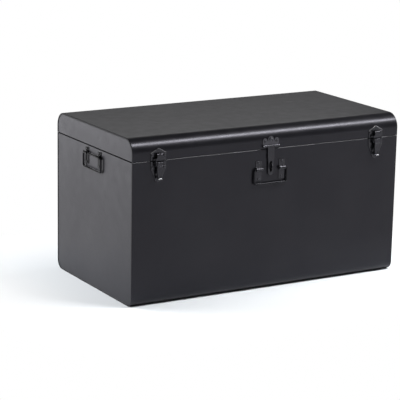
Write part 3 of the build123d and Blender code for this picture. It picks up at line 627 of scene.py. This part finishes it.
def bent_skin(name, low, high, bend, corner_radius, steps, welds=()):
    """Sheet bent along two long edges, with folded ends and a hemmed mouth on the other side."""
    closed_z, mouth_z = (low, high) if bend == "low" else (high, low)
    up = 1 if bend == "low" else -1
    far_z = mouth_z + up * SPARE
    bottom_z, top_z = sorted((closed_z, far_z))
    piece = add_box(name, (-LENGTH / 2, -DEPTH / 2, bottom_z), (LENGTH / 2, DEPTH / 2, top_z))
    open_piece(piece)
    pick("EDGE", edges_along(0, (2, closed_z, closed_z)))
    round_picked(corner_radius, steps)
    pick("FACE", lambda f: abs(f.normal.x) > ALONG)
    bpy.ops.mesh.region_to_loop()
    round_picked(FOLD_ROUND, 3)
    pick("FACE", lambda f: abs(f.normal.x) > ALONG)
    bpy.ops.mesh.inset(thickness=(LIP - FOLD_ROUND) * MM)
    bpy.ops.mesh.delete(type="FACE")
    bisect_at(mouth_z, clear_above=up > 0, clear_below=up < 0)
    for x, y in welds:
        weld_dimple(x, y, closed_z)
    leave_piece()
    apply_modifier(piece, "SOLIDIFY", thickness=SHEET * MM, offset=-1.0, use_even_offset=True)
    open_piece(piece)
    bisect_at(mouth_z - up * HEM)
    hem_low, hem_high = sorted((mouth_z - up * HEM, mouth_z))
    for side in (-1, 1):
        inside = (1, side * DEPTH / 2 - side * SHEET, side * DEPTH / 2 - side * SHEET)
        pick("FACE", faces_towards(Vector((0, -side, 0)), (2, hem_low, hem_high), inside))
        bpy.ops.mesh.extrude_region_move(TRANSFORM_OT_translate={"value": (0, -side * SHEET * MM, 0)})
    pick("EDGE", lambda e: abs(abs(middle(e).y) - DEPTH / 2) < NEAR and edges_along(0, (2, mouth_z, mouth_z))(e))
    round_picked(SHOULDER_ROUND if up > 0 else RIM_ROUND, 5)
    return piece


# %% Body skin
BOTTOM_RADIUS = 24.0
body_skin = bent_skin("body_skin", 0.0, RIM + SEAM_CREST, "low", BOTTOM_RADIUS, 14)
close_piece(body_skin)
apply_modifier(body_skin, "WEIGHTED_NORMAL", keep_sharp=True)
# The rim coat paints a highlight along the body's rim, a metallic band that brightens the line of the gap.
dress(body_skin, "trunk_body", rim_highlight_paint, "body_wrap")

# %% Lid skin
TOP_RADIUS = 37.0
WELDS = [(x, y) for x in (-233, -78, 78, 233) for y in (-32, 62)]
lid_skin = bent_skin("lid_skin", LID_EDGE, HEIGHT, "high", TOP_RADIUS, 20, WELDS)
close_piece(lid_skin)
apply_modifier(lid_skin, "WEIGHTED_NORMAL", keep_sharp=True)
dress(lid_skin, "lid", shell_paint, "lid_wrap", "lid_wrap_fold_left", "lid_wrap_fold_right")


# %% [markdown]
# ## The end panels
#
# Each end is a flat pressing with a flange bent inwards all round, which is spot-welded to the
# skin. It is made like the skins, from a box with two rounded corners, and then opened at the back
# and at the mouth, which stops a little short, because the seam is widest and darkest at the ends.
# The left one is turned half round the trunk's upright middle to give the right one.

# %% Copying a piece
def turned_copy(piece, name, degrees=0.0, move=(0.0, 0.0, 0.0)):
    """A copy with its own mesh, turned about the trunk's upright middle line and then moved in millimetres."""
    select_alone(piece)
    bpy.ops.object.duplicate(linked=False)
    twin = bpy.context.active_object
    twin.name = name
    twin.rotation_euler = (0.0, 0.0, math.radians(degrees))
    twin.location = Vector(move) * MM
    bpy.ops.object.transform_apply(location=True, rotation=True, scale=True)
    return twin


def remove_masters(*masters):
    """Remove pieces that were made only to be copied."""
    for master in masters:
        bpy.data.objects.remove(master)


# %% End panels
PANEL_GAP = 0.1
FLANGE = 12.0
FLANGE_STOP = 6.8
SEAM_EASE = 0.9


def end_panel(name, closed_z, mouth_z, corner_radius, steps):
    """Left end panel: a plate with a flange along its closed edge and sides, and a hem at its mouth."""
    up = 1 if mouth_z > closed_z else -1
    inset = SHEET + PANEL_GAP
    half = DEPTH / 2 - inset
    outer_x, inner_x = SHEET - LENGTH / 2, SHEET + FLANGE - LENGTH / 2
    start_z, far_z = closed_z + up * inset, mouth_z + up * SPARE
    piece = add_box(name, (outer_x, -half, min(start_z, far_z)), (inner_x, half, max(start_z, far_z)))
    open_piece(piece)
    pick("EDGE", edges_along(0, (2, start_z, start_z)))
    round_picked(corner_radius - inset, steps)
    pick("FACE", faces_towards(Vector((1, 0, 0))))
    bpy.ops.mesh.delete(type="FACE")
    pick("FACE", faces_towards(Vector((-1, 0, 0))))
    bpy.ops.mesh.region_to_loop()
    round_picked(FOLD_ROUND, 3)
    bisect_at(mouth_z, clear_above=up > 0, clear_below=up < 0)
    bisect_at(mouth_z - up * FLANGE_STOP)
    low, high = sorted((mouth_z, mouth_z - up * FLANGE_STOP))
    pick("FACE", lambda f: low < middle(f).z < high and f.normal.x > -0.9)
    bpy.ops.mesh.delete(type="FACE")
    leave_piece()
    apply_modifier(piece, "SOLIDIFY", thickness=SHEET * MM, offset=-1.0, use_even_offset=True)
    open_piece(piece)
    bisect_at(mouth_z - up * HEM)
    low, high = sorted((mouth_z, mouth_z - up * HEM))
    pick("FACE", faces_towards(Vector((1, 0, 0)), (2, low, high)))
    bpy.ops.mesh.inset(thickness=PANEL_GAP * MM)
    bpy.ops.mesh.extrude_region_move(TRANSFORM_OT_translate={"value": (SHEET * MM, 0, 0)})
    close_piece(piece)
    apply_modifier(piece, "WEIGHTED_NORMAL", keep_sharp=True)
    return piece


for part, body, closed_z, mouth_z, radius, steps in (
        ("body_end", "trunk_body", 0.0, RIM - SEAM_EASE, BOTTOM_RADIUS, 14),
        ("lid_end", "lid", HEIGHT, LID_EDGE + SEAM_EASE, TOP_RADIUS, 20)):
    left = end_panel(part + "_panel_left", closed_z, mouth_z, radius, steps)
    right = turned_copy(left, part + "_panel_right", degrees=180.0)
    dress(left, body, shell_paint, part + "_left")
    dress(right, body, shell_paint, part + "_right")
    back_left_panels.objects.link(left)
    back_left_panels.objects.link(right)


# %% [markdown]
# ## The drop handles
#
# A handle is one length of round rod, bent cold and held by two clips. We draw the rod as a smith
# would bend it: a ring of vertices is extruded along each straight run and spun round each bend.
# The front handle stays open, with its ends turned in through the clips. The end handles are closed
# loops. A curve with a round profile would be quicker, but spun rings give true arcs and even faces.

# %% Rod bending
ROD_SIDES = 20
GAP_Z = (RIM + LID_EDGE) / 2
FRONT_Y = -DEPTH / 2


def bend_end(centre, axis, degrees):
    """Carry the picked end round a bend, right-handed about the axis; spin itself turns the other way."""
    steps = max(3, round(abs(degrees) / 11))
    bpy.ops.mesh.spin(steps=steps, angle=math.radians(-degrees), center=Vector(centre) * MM, axis=axis)


def run_end(x, y, z):
    """Carry the picked end straight on by this many millimetres."""
    bpy.ops.mesh.extrude_region_move(TRANSFORM_OT_translate={"value": Vector((x, y, z)) * MM})


def bent_rod(name, start, facing, radius, moves):
    """A rod drawn from a ring at a point, by straight runs and by bends of (centre, axis, degrees)."""
    deselect_all()
    tilt = {"x": (0, math.pi / 2, 0), "y": (math.pi / 2, 0, 0), "z": (0, 0, 0)}[facing]
    bpy.ops.mesh.primitive_circle_add(
        vertices=ROD_SIDES, radius=radius * MM, fill_type="NOTHING", location=Vector(start) * MM, rotation=tilt)
    rod = settled(name)
    open_piece(rod)
    bpy.ops.mesh.select_mode(type="EDGE")
    bpy.ops.mesh.select_all(action="SELECT")
    for move in moves:
        if len(move) == 1:
            run_end(*move[0])
        else:
            bend_end(*move)
    return rod


def cap_ends(length):
    """Close the open ends of the rod in edit mode and round their rims."""
    bpy.ops.mesh.select_mode(type="EDGE")
    bpy.ops.mesh.select_all(action="DESELECT")
    bpy.ops.mesh.select_non_manifold()
    bpy.ops.mesh.fill_holes(sides=ROD_SIDES)
    bpy.ops.mesh.select_all(action="SELECT")
    bpy.ops.mesh.normals_make_consistent(inside=False)
    pick("FACE", lambda f: len(f.verts) > 8)
    bpy.ops.mesh.inset(thickness=length * MM, depth=0.5 * length * MM)


# %% Handles
ROD_RADIUS = 2.75
ROD_STANDOFF = 4.5
BAIL_LEG = 48.8
BAIL_DROP = 38.0
UPPER_BEND = 4.5
LOWER_BEND = 7.0
STUB_END = 23.0
STUB_ROUND = 0.8
FRONT_ROD_Z = GAP_Z - 51.25
END_ROD_Z = GAP_Z - 19.75
INTO_FRONT = (0, 1, 0)


def bail_moves(start_u, end_u, rod_z):
    """Runs and bends of a handle seen from the front, from its left end round to its right end."""
    y = FRONT_Y - ROD_STANDOFF
    low_z = rod_z - BAIL_DROP
    up_bend, low_bend = BAIL_LEG - UPPER_BEND, BAIL_LEG - LOWER_BEND
    run_down = BAIL_DROP - UPPER_BEND - LOWER_BEND
    return [
        ((-(up_bend + start_u), 0, 0),),
        ((-up_bend, y, rod_z - UPPER_BEND), INTO_FRONT, -90),
        ((0, 0, -run_down),),
        ((-low_bend, y, low_z + LOWER_BEND), INTO_FRONT, -90),
        ((2 * low_bend, 0, 0),),
        ((low_bend, y, low_z + LOWER_BEND), INTO_FRONT, -90),
        ((0, 0, run_down),),
        ((up_bend, y, rod_z - UPPER_BEND), INTO_FRONT, -90),
        ((-(up_bend - end_u), 0, 0),),
    ]


def handle(name, start_u, end_u, rod_z):
    """A finished handle on the front face, open or closed."""
    moves = bail_moves(start_u, end_u, rod_z)
    rod = bent_rod(name, (start_u, FRONT_Y - ROD_STANDOFF, rod_z), "x", ROD_RADIUS, moves)
    if start_u < end_u:
        cap_ends(STUB_ROUND)
    close_piece(rod, 50.0)
    return rod


front_handle = handle("front_handle", -STUB_END, STUB_END, FRONT_ROD_Z)
end_handle = handle("end_handle", 0.0, 0.0, END_ROD_Z)
END_SHIFT = LENGTH / 2 - SHEET - DEPTH / 2
left_handle = turned_copy(end_handle, "left_handle", -90.0, (-END_SHIFT, 0, 0))
right_handle = turned_copy(end_handle, "right_handle", 90.0, (END_SHIFT, 0, 0))
remove_masters(end_handle)
dress(front_handle, "front_bail", handle_paint, "front_bail")
dress(left_handle, "left_bail", handle_paint, "left_bail")
dress(right_handle, "right_bail", handle_paint, "right_bail")


# %% [markdown]
# ## The handle clips
#
# A clip is a strip of plate humped over the rod and riveted above and below it. We start with its
# lower foot as a box, and carry the strip's end face along its path: a quarter turn out of the
# panel, a half turn over the rod, and a quarter turn back.

# %% Clips
PLATE = 1.5
EDGE_BREAK = 0.3
CLIP_WIDTH = 18.0
CLIP_SPACING = 70.0
CLIP_FOOT = 30.0
CLIP_BORE = 3.0
CLIP_BEND = 0.8
CLIP_CORNER = 3.0
CLIP_MARGIN = 2.0
FRONT_CLIP_RISE, END_CLIP_RISE = 17.5, 9.5
SIDEWAYS = (1, 0, 0)


def break_edges(piece, width=EDGE_BREAK, smooth_angle=40.0):
    """Round every sharp edge a little, as tumbling and paint do, and keep the flats flat."""
    apply_modifier(
        piece, "BEVEL", width=width * MM, segments=2, limit_method="ANGLE", angle_limit=math.radians(35))
    select_alone(piece)
    bpy.ops.object.shade_smooth_by_angle(angle=math.radians(smooth_angle))
    apply_modifier(piece, "WEIGHTED_NORMAL", keep_sharp=True)
    print(piece.name, "rounded,", len(piece.data.polygons), "faces")


def humped_clip(name, rod_z, rise):
    """A clip on the front face, centred on x = 0."""
    half = CLIP_WIDTH / 2
    turn_v = CLIP_BORE + PLATE + CLIP_BEND
    turn_y = FRONT_Y - PLATE - CLIP_BEND
    top_v = rise + CLIP_CORNER + CLIP_MARGIN
    out = ROD_STANDOFF - PLATE - CLIP_BEND
    piece = add_box(name, (-half, FRONT_Y - PLATE, rod_z - CLIP_FOOT), (half, FRONT_Y, rod_z - turn_v))
    open_piece(piece)
    pick("FACE", faces_towards(Vector((0, 0, 1))))
    bend_end((0, turn_y, rod_z - turn_v), SIDEWAYS, 90)
    run_end(0, -out, 0)
    bend_end((0, FRONT_Y - ROD_STANDOFF, rod_z), SIDEWAYS, -180)
    run_end(0, out, 0)
    bend_end((0, turn_y, rod_z + turn_v), SIDEWAYS, 90)
    run_end(0, 0, top_v - turn_v)
    ends = (rod_z - CLIP_FOOT, rod_z + top_v)
    pick("EDGE", lambda e: edges_along(1)(e) and min(abs(middle(e).z - z) for z in ends) < 0.05)
    round_picked(CLIP_CORNER, 5)
    close_piece(piece)
    break_edges(piece)
    return piece


# %% Clips in place
front_clip = humped_clip("front_clip", FRONT_ROD_Z, FRONT_CLIP_RISE)
end_clip = humped_clip("end_clip", END_ROD_Z, END_CLIP_RISE)
for name, side in (("left", -1), ("right", 1)):
    at = side * CLIP_SPACING / 2
    clip = turned_copy(front_clip, "front_handle_clip_" + name, 0.0, (at, 0, 0))
    dress(clip, "trunk_body", fitting_paint, "front_bail_clip_" + name)
    for end, y in (("front", -CLIP_SPACING / 2), ("rear", CLIP_SPACING / 2)):
        clip = turned_copy(end_clip, name + "_handle_clip_" + end, side * 90.0, (side * END_SHIFT, y, 0))
        dress(clip, "trunk_body", handle_paint, name + "_bail_clip_" + end)
remove_masters(front_clip, end_clip)


# %% [markdown]
# ## The draw latches
#
# A draw latch pulls the lid down. Its plate on the lid carries a hooked shelf, its shield on the
# body carries two ears, and between them turns a lever with a forked link whose claw grips the
# shelf. All of it is pressed from strip, so every piece starts as a thin box on the front face, in
# places measured across and up from the middle of the gap and out from the skin. The press rolls the
# roof-shaped edge of the lid's plate over, so that edge gets a wider bevel.

# %% Building on the front face
def front_box(name, across, heights, depths):
    """A box on the front face, centred between its limits across, up from the gap and out from the skin."""
    low = (across[0], FRONT_Y - depths[1], GAP_Z + heights[0])
    high = (across[1], FRONT_Y - depths[0], GAP_Z + heights[1])
    return add_box(name, low, high)


def front_cylinder(name, centre, radius, length, turn, sides):
    """A cylinder on the front face, round a middle given across, up from the gap and out from the skin."""
    deselect_all()
    across, height, depth = centre
    place = Vector((across, FRONT_Y - depth, GAP_Z + height)) * MM
    bpy.ops.mesh.primitive_cylinder_add(
        vertices=sides, radius=radius * MM, depth=length * MM, location=place, rotation=turn)
    return settled(name)


def front_rod(name, across, height, depth, radius, sides=24):
    """A round bar along the front face."""
    centre = (sum(across) / 2, height, depth)
    return front_cylinder(name, centre, radius, across[1] - across[0], (0, math.pi / 2, 0), sides)


def front_disc(name, across, height, depths, radius, sides=32):
    """A round disc that stands out from the front face."""
    centre = (across, height, sum(depths) / 2)
    return front_cylinder(name, centre, radius, depths[1] - depths[0], (math.pi / 2, 0, 0), sides)


# %% Shaping and welding
def squeeze_end(factor_x=1.0, factor_y=1.0, centre=(0, 0, 0)):
    """Scale the picked end about a point in millimetres."""
    bpy.ops.transform.resize(value=(factor_x, factor_y, 1), center_override=Vector(centre) * MM)


def combined(piece, cutter, operation):
    """Weld a solid to a piece (UNION) or cut it away (DIFFERENCE), and drop the tool."""
    apply_modifier(piece, "BOOLEAN", object=cutter, operation=operation, solver="EXACT")
    bpy.data.objects.remove(cutter)
    return piece


def tidy(piece):
    """Close a piece that is in object mode."""
    open_piece(piece)
    close_piece(piece)


TOP_FACE = faces_towards(Vector((0, 0, 1)))
BOTTOM_FACE = faces_towards(Vector((0, 0, -1)))
FRONT_FACE = faces_towards(Vector((0, -1, 0)))


def mirrored(inner, outer):
    """Limits across of a strip on the left and of its mirror image on the right."""
    return (-outer, -inner), (inner, outer)


def at_height(height):
    """Limits that hold only at a height above the gap."""
    return (2, GAP_Z + height, GAP_Z + height)


# %% Latch plate on the lid
LATCH_X = LENGTH / 2 - 72.0
LATCH_HALF = 22.0
CATCH_LOW, CATCH_SHOULDER, CATCH_PEAK = 1.25, 20.5, 32.5
SHELF_TOP = 11.55
LIP_TOP = SHELF_TOP + 2.8
LIP_OUT = 9.3
ROOT = 0.2
HOOK_HALF = 6.5
ROOF_ROUND = 1.3

catch = front_box("latch_plate", (-LATCH_HALF, LATCH_HALF), (CATCH_LOW, CATCH_SHOULDER), (0, PLATE))
open_piece(catch)
pick("FACE", TOP_FACE)
run_end(0, 0, CATCH_PEAK - CATCH_SHOULDER)
squeeze_end(factor_x=0.04)
pick("EDGE", lambda e: edges_along(1)(e) and middle(e).z > GAP_Z + CATCH_SHOULDER - 1)
round_picked(0.8, 3)
pick("EDGE", lambda e: middle(e).z > GAP_Z + CATCH_SHOULDER + 1.0 and middle(e).y < FRONT_Y - PLATE + NEAR)
round_picked(ROOF_ROUND, 4)
leave_piece()
hook = front_box("hook", (-HOOK_HALF, HOOK_HALF), (SHELF_TOP - PLATE, SHELF_TOP), (ROOT, LIP_OUT - PLATE))
open_piece(hook)
pick("FACE", FRONT_FACE)
run_end(0, -PLATE, 0)
pick("FACE", faces_towards(Vector((0, 0, 1)), (1, FRONT_Y - LIP_OUT, FRONT_Y - LIP_OUT + PLATE)))
run_end(0, 0, LIP_TOP - SHELF_TOP)
leave_piece()
combined(catch, hook, "UNION")
tidy(catch)
break_edges(catch, 0.6)

# %% Latch shield on the body
PIVOT_V = -5.25
LINK_PIN_V = -10.25
EAR_INNER = 8.3
EAR_RADIUS = 3.3
PIVOT_W = 7.5
BASE_TOP, BASE_STRAIGHT, BASE_DROP, BASE_TIP = -1.25, -20.0, -54.5, 11.0

shield = front_box("latch_shield", (-LATCH_HALF, LATCH_HALF), (BASE_STRAIGHT, BASE_TOP), (0, PLATE))
open_piece(shield)
pick("FACE", BOTTOM_FACE)
run_end(0, 0, BASE_DROP + BASE_TIP - BASE_STRAIGHT)
squeeze_end(factor_x=BASE_TIP / LATCH_HALF)
run_end(0, 0, -BASE_TIP)
pick("EDGE", edges_along(1, at_height(BASE_DROP)))
round_picked(0.98 * BASE_TIP, 10)
pick("EDGE", lambda e: edges_along(1)(e) and abs(middle(e).z - GAP_Z - BASE_STRAIGHT) < NEAR)
round_picked(3.0, 4)
leave_piece()
for across in mirrored(EAR_INNER, EAR_INNER + PLATE):
    ear = front_box("ear", across, (PIVOT_V - EAR_RADIUS, PIVOT_V + EAR_RADIUS), (ROOT, PIVOT_W + EAR_RADIUS))
    open_piece(ear)
    pick("EDGE", edges_along(0, (1, FRONT_Y - PIVOT_W - EAR_RADIUS, FRONT_Y - PIVOT_W - EAR_RADIUS)))
    round_picked(0.97 * EAR_RADIUS, 7)
    leave_piece()
    combined(shield, ear, "UNION")
tidy(shield)
break_edges(shield, 0.6)

# %% [markdown]
# The lever is a shallow channel: a tapered web with a flange down each side, two ribs pressed
# across it, a hole for a small padlock and a finger tip rolled outwards. We carry the web's lower
# end down and round with extrude and spin, cut the hole with a disc, and weld flanges and ribs on,
# which is simpler than to draw one outline that holds them all.

# %% Latch lever
LEVER_HALF = 8.0
LEVER_TOP = PIVOT_V + 4.0
WEB_IN, WEB_OUT = 10.0, 11.5
TAPER_V = -28.25
TIP_V = -44.75
TIP_HALF = 5.0
CURL = 0.6
CURL_TURN = 250
FLANGE_LOW, FLANGE_END = LINK_PIN_V - 3.0, TAPER_V - 5.0
FLANGE_IN = 4.5
RIBS_V = (-3.1, -13.6)
RIB_RADIUS = 1.1
HOLE_V = -36.75
HOLE_RADIUS = 3.0

lever = front_box("latch_lever", (-LEVER_HALF, LEVER_HALF), (TAPER_V, LEVER_TOP), (WEB_IN, WEB_OUT))
open_piece(lever)
pick("FACE", BOTTOM_FACE)
run_end(0, 0, TIP_V - TAPER_V)
squeeze_end(factor_x=TIP_HALF / LEVER_HALF)
bend_end((0, FRONT_Y - WEB_OUT - CURL, GAP_Z + TIP_V), SIDEWAYS, -CURL_TURN)
leave_piece()
hole = front_disc("hole", 0.0, HOLE_V, (WEB_IN - 2, WEB_OUT + 2), HOLE_RADIUS)
combined(lever, hole, "DIFFERENCE")
for across in mirrored(LEVER_HALF - PLATE, LEVER_HALF):
    flange = front_box("flange", across, (FLANGE_LOW, LEVER_TOP), (FLANGE_IN, WEB_IN + 0.1))
    open_piece(flange)
    pick("FACE", BOTTOM_FACE)
    run_end(0, 0, FLANGE_END - FLANGE_LOW)
    squeeze_end(factor_y=0.1, centre=(0, FRONT_Y - WEB_IN, 0))
    leave_piece()
    combined(lever, flange, "UNION")
for v in RIBS_V:
    rib = front_rod("rib", (-LEVER_HALF + 0.8, LEVER_HALF - 0.8), v, WEB_OUT - 0.35, RIB_RADIUS)
    combined(lever, rib, "UNION")
tidy(lever)
break_edges(lever, 0.25)

# %% [markdown]
# The link is a fork. Its arms hang on the lever's lower pin, a yoke ties them together above the
# lever, and from the yoke an arched claw narrows upwards and bends over the shelf. Yoke and claw
# are one strip, carried on from the box's upper face, and the arms are welded to it.

# %% Latch link
ARM_INNER = 10.1
ARM_OUTER = 11.6
ARM_HALF = 2.75
ARM_LEAN = 1.25
PIN_RADIUS = 1.25
PIN_PROUD = 0.6
YOKE_LOW, YOKE_HIGH = 2.2, 6.0
CLAW_HALF = 8.0
SHOULDER_V = 10.5
CLAW_RISE = 15.25
CLAW_W = 6.65
CLAW_TIP_V = 11.85

link = front_box("latch_link", (-ARM_OUTER, ARM_OUTER), (YOKE_LOW, YOKE_HIGH), (WEB_IN, WEB_OUT))
open_piece(link)
pick("FACE", TOP_FACE)
run_end(0, 0, SHOULDER_V - YOKE_HIGH)
squeeze_end(factor_x=CLAW_HALF / ARM_OUTER)
run_end(0, 0, CLAW_RISE - SHOULDER_V)
bend_end((0, FRONT_Y - CLAW_W, GAP_Z + CLAW_RISE), SIDEWAYS, -180)
run_end(0, 0, CLAW_TIP_V - CLAW_RISE)
leave_piece()
for across in mirrored(ARM_INNER, ARM_OUTER):
    arm = front_box("arm", across, (LINK_PIN_V - ARM_HALF, LINK_PIN_V), (PIVOT_W - ARM_HALF, PIVOT_W + ARM_HALF))
    open_piece(arm)
    pick("EDGE", edges_along(0, at_height(LINK_PIN_V - ARM_HALF)))
    round_picked(2.6, 6)
    pick("FACE", TOP_FACE)
    run_end(0, -ARM_LEAN, YOKE_LOW - LINK_PIN_V)
    squeeze_end(factor_y=0.6, centre=(0, FRONT_Y - WEB_OUT, 0))
    run_end(0, 0, 0.9 * (YOKE_HIGH - YOKE_LOW))
    leave_piece()
    combined(link, arm, "UNION")
pin = front_rod("pin", (-ARM_OUTER - PIN_PROUD, ARM_OUTER + PIN_PROUD), LINK_PIN_V, PIVOT_W, PIN_RADIUS)
combined(link, pin, "UNION")
tidy(link)
break_edges(link, 0.3)

# %% Latches in place
for name, side in (("left", -1), ("right", 1)):
    at = (side * LATCH_X, 0, 0)
    # The catches carry a painted highlight along their roof line, and the levers a bare tip that is wear with a
    # painted highlight.
    for master, node, body, finish in (
            (catch, "latch_catch", "lid", catch_roof_highlight_paint),
            (shield, "latch_base", "trunk_body", fitting_paint),
            (lever, "latch_lever", "latch_lever_" + name, lever_wear_and_highlight_paint),
            (link, "latch_link", "latch_link_" + name, fitting_paint)):
        dress(turned_copy(master, f"{master.name}_{name}", 0.0, at), body, finish, f"{node}_{name}")
remove_masters(catch, shield, lever, link)


# %% [markdown]
# ## The hasp
#
# The hasp closes the lid with a padlock. Its plate has three lobes, for two rivets and a ringed
# button, and its lower edge is rolled round a pin. The lobes are discs welded to a bar. One could
# draw the outline as a curve, but discs stay truly round.

# %% Hasp plate
HASP_AXIS_V = 8.25
HASP_AXIS_W = 3.46
HASP_KNUCKLE = 3.16
HASP_HALF = 24.5
HASP_BAR = (11.0, 21.0)
LOBE_X, LOBE_V, LOBE_RADIUS = 17.5, 22.0, 6.5
CROWN_V, CROWN_RADIUS = 23.3, 9.5
STRAP_HALF = 10.0
RUNNING_GAP = 0.3
KNUCKLE_WEB = (RUNNING_GAP, PLATE + 0.25)
WELD_LAP = 0.6

plate = front_box("hasp_plate_dressed", (-HASP_HALF, HASP_HALF), HASP_BAR, (0, PLATE))
for x in (-LOBE_X, LOBE_X):
    combined(plate, front_disc("lobe", x, LOBE_V, (0, PLATE), LOBE_RADIUS), "UNION")
combined(plate, front_disc("crown", 0.0, CROWN_V, (0, PLATE), CROWN_RADIUS, 40), "UNION")
for across in mirrored(STRAP_HALF + RUNNING_GAP, HASP_HALF):
    web = front_box("web", across, (HASP_AXIS_V, HASP_BAR[0] + WELD_LAP), KNUCKLE_WEB)
    knuckle = front_rod("knuckle", across, HASP_AXIS_V, HASP_AXIS_W, HASP_KNUCKLE, 28)
    combined(plate, combined(web, knuckle, "UNION"), "UNION")
tidy(plate)
break_edges(plate, 0.6)
dress(plate, "lid", hasp_paint, "hasp_plate")

# %% [markdown]
# The button is turned: a low disc with a raised ring round a flat middle. A few insets, each
# with its own height, step over the ring.

# %% Hasp button
BUTTON_RADIUS = 6.2
BUTTON_RISE = 1.6
RING_STEPS = ((0.5, 0.0), (0.45, 0.8), (0.5, 0.25), (0.45, -0.25), (0.4, -0.8))

button = front_disc("hasp_button", 0.0, CROWN_V, (PLATE - ROOT, PLATE + BUTTON_RISE), BUTTON_RADIUS, 40)
open_piece(button)
pick("FACE", FRONT_FACE)
round_picked(0.6, 3)
pick("FACE", lambda f: FRONT_FACE(f) and len(f.verts) > 8)
for thickness, height in RING_STEPS:
    bpy.ops.mesh.inset(thickness=thickness * MM, depth=height * MM)
close_piece(button, 50.0)
dress(button, "lid", hasp_paint, "hasp_boss")

# %% [markdown]
# On the pin swings a strap that narrows to a rounded end. Its slot drops over a wire staple on the
# body. The slot is cut with a rounded tool, and the staple is bent from a ring as the handles are.

# %% Hasp strap
STRAP_OUT = HASP_AXIS_W + 1.0
STRAP_IN = HASP_AXIS_W - 1.0
STRAP_TOP = HASP_AXIS_V - 2.0
BULGE_V = HASP_AXIS_V - 29.0
NECK_V = HASP_AXIS_V - 39.0
STRAP_END_V = HASP_AXIS_V - 77.0
STRAP_END_HALF = 8.0
SLOT_V = HASP_AXIS_V - 54.0
SLOT_HALF_WIDTH = 3.5
SLOT_HALF_LENGTH = 14.0

strap = front_box("hasp_strap_dressed", (-STRAP_HALF, STRAP_HALF), (BULGE_V, STRAP_TOP), (STRAP_IN, STRAP_OUT))
open_piece(strap)
pick("FACE", BOTTOM_FACE)
run_end(0, 0, NECK_V - BULGE_V)
squeeze_end(factor_x=STRAP_END_HALF / STRAP_HALF)
run_end(0, 0, STRAP_END_V - NECK_V)
pick("EDGE", edges_along(1, at_height(STRAP_END_V)))
round_picked(0.98 * STRAP_END_HALF, 9)
for bend_v in (BULGE_V, NECK_V):
    pick("EDGE", edges_along(1, at_height(bend_v)))
    round_picked(3.5, 4)
leave_piece()
slot_tool = front_box(
    "slot", (-SLOT_HALF_WIDTH, SLOT_HALF_WIDTH), (SLOT_V - SLOT_HALF_LENGTH, SLOT_V + SLOT_HALF_LENGTH), (-1, 9))
open_piece(slot_tool)
pick("EDGE", edges_along(1))
round_picked(0.97 * SLOT_HALF_WIDTH, 7)
leave_piece()
combined(strap, slot_tool, "DIFFERENCE")
combined(strap, front_rod("eye", (-STRAP_HALF, STRAP_HALF), HASP_AXIS_V, HASP_AXIS_W, HASP_KNUCKLE, 28), "UNION")
tidy(strap)
break_edges(strap, 0.45)
dress(strap, "hasp_strap", fitting_paint, "hasp_strap")

# %% Staple
STAPLE_HALF = 7.0
STAPLE_BEND_W = 5.25
WIRE_RADIUS = 1.75
staple_middle = GAP_Z + SLOT_V
staple = bent_rod(
    "hasp_staple_wire", (0, FRONT_Y + 1.5, staple_middle - STAPLE_HALF), "y", WIRE_RADIUS,
    [((0, -STAPLE_BEND_W - 1.5, 0),),
     ((0, FRONT_Y - STAPLE_BEND_W, staple_middle), SIDEWAYS, -180),
     ((0, STAPLE_BEND_W + 1.5, 0),)])
cap_ends(0.3)
close_piece(staple, 50.0)
dress(staple, "trunk_body", fitting_paint, "hasp_staple")


# %% [markdown]
# ## The hinges
#
# Three rolled hinges carry the lid at the back. A leaf is a strip of plate with rounded corners,
# rolled at one edge into knuckles that interleave with the other leaf's. The photograph doesn't
# show them, so they follow the usual pattern. We build one pair on the front face, where our
# helpers measure from, and turn the copies round to the back.

# %% Hinges
HINGE_HALF = 30.0
HINGE_LEAF = 20.0
HINGE_AXIS_W = 3.86
HINGE_KNUCKLE = 3.56
KNUCKLE_PITCH = 20.0
HINGE_CORNER = 3.0
HINGE_SPACING = 305.0
NEAR_AXIS = HINGE_KNUCKLE + RUNNING_GAP


def hinge_leaf(name, direction, knuckle_places):
    """A leaf above (+1) or below (-1) the axis, with its knuckles."""
    near, far = sorted((direction * NEAR_AXIS, direction * HINGE_LEAF))
    leaf = front_box(name, (-HINGE_HALF, HINGE_HALF), (near, far), (0, PLATE))
    open_piece(leaf)
    pick("EDGE", edges_along(1, at_height(direction * HINGE_LEAF)))
    round_picked(HINGE_CORNER, 4)
    leave_piece()
    half = (KNUCKLE_PITCH - RUNNING_GAP) / 2
    for x in knuckle_places:
        low, high = sorted((0.0, direction * (NEAR_AXIS + WELD_LAP)))
        web = front_box("web", (x - half, x + half), (low, high), KNUCKLE_WEB)
        knuckle = front_rod("knuckle", (x - half, x + half), 0.0, HINGE_AXIS_W, HINGE_KNUCKLE, 28)
        combined(leaf, combined(web, knuckle, "UNION"), "UNION")
    tidy(leaf)
    break_edges(leaf)
    return leaf


lid_leaf = hinge_leaf("lid_hinge_leaf", 1, (0.0,))
body_leaf = hinge_leaf("body_hinge_leaf", -1, (-KNUCKLE_PITCH, KNUCKLE_PITCH))
for name, x in (("left", -HINGE_SPACING), ("middle", 0.0), ("right", HINGE_SPACING)):
    upper = turned_copy(lid_leaf, "lid_leaf_" + name, 180.0, (x, 0, 0))
    dress(upper, "lid", fitting_paint, "hinge_lid_leaf_" + name)
    lower = turned_copy(body_leaf, "body_leaf_" + name, 180.0, (x, 0, 0))
    dress(lower, "trunk_body", fitting_paint, "hinge_body_leaf_" + name)
remove_masters(lid_leaf, body_leaf)


# %% Finish
visual_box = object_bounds()
for side, corner in zip(("from", "to"), visual_box):
    print("dressed box", side, tuple(round(v, 4) for v in corner))
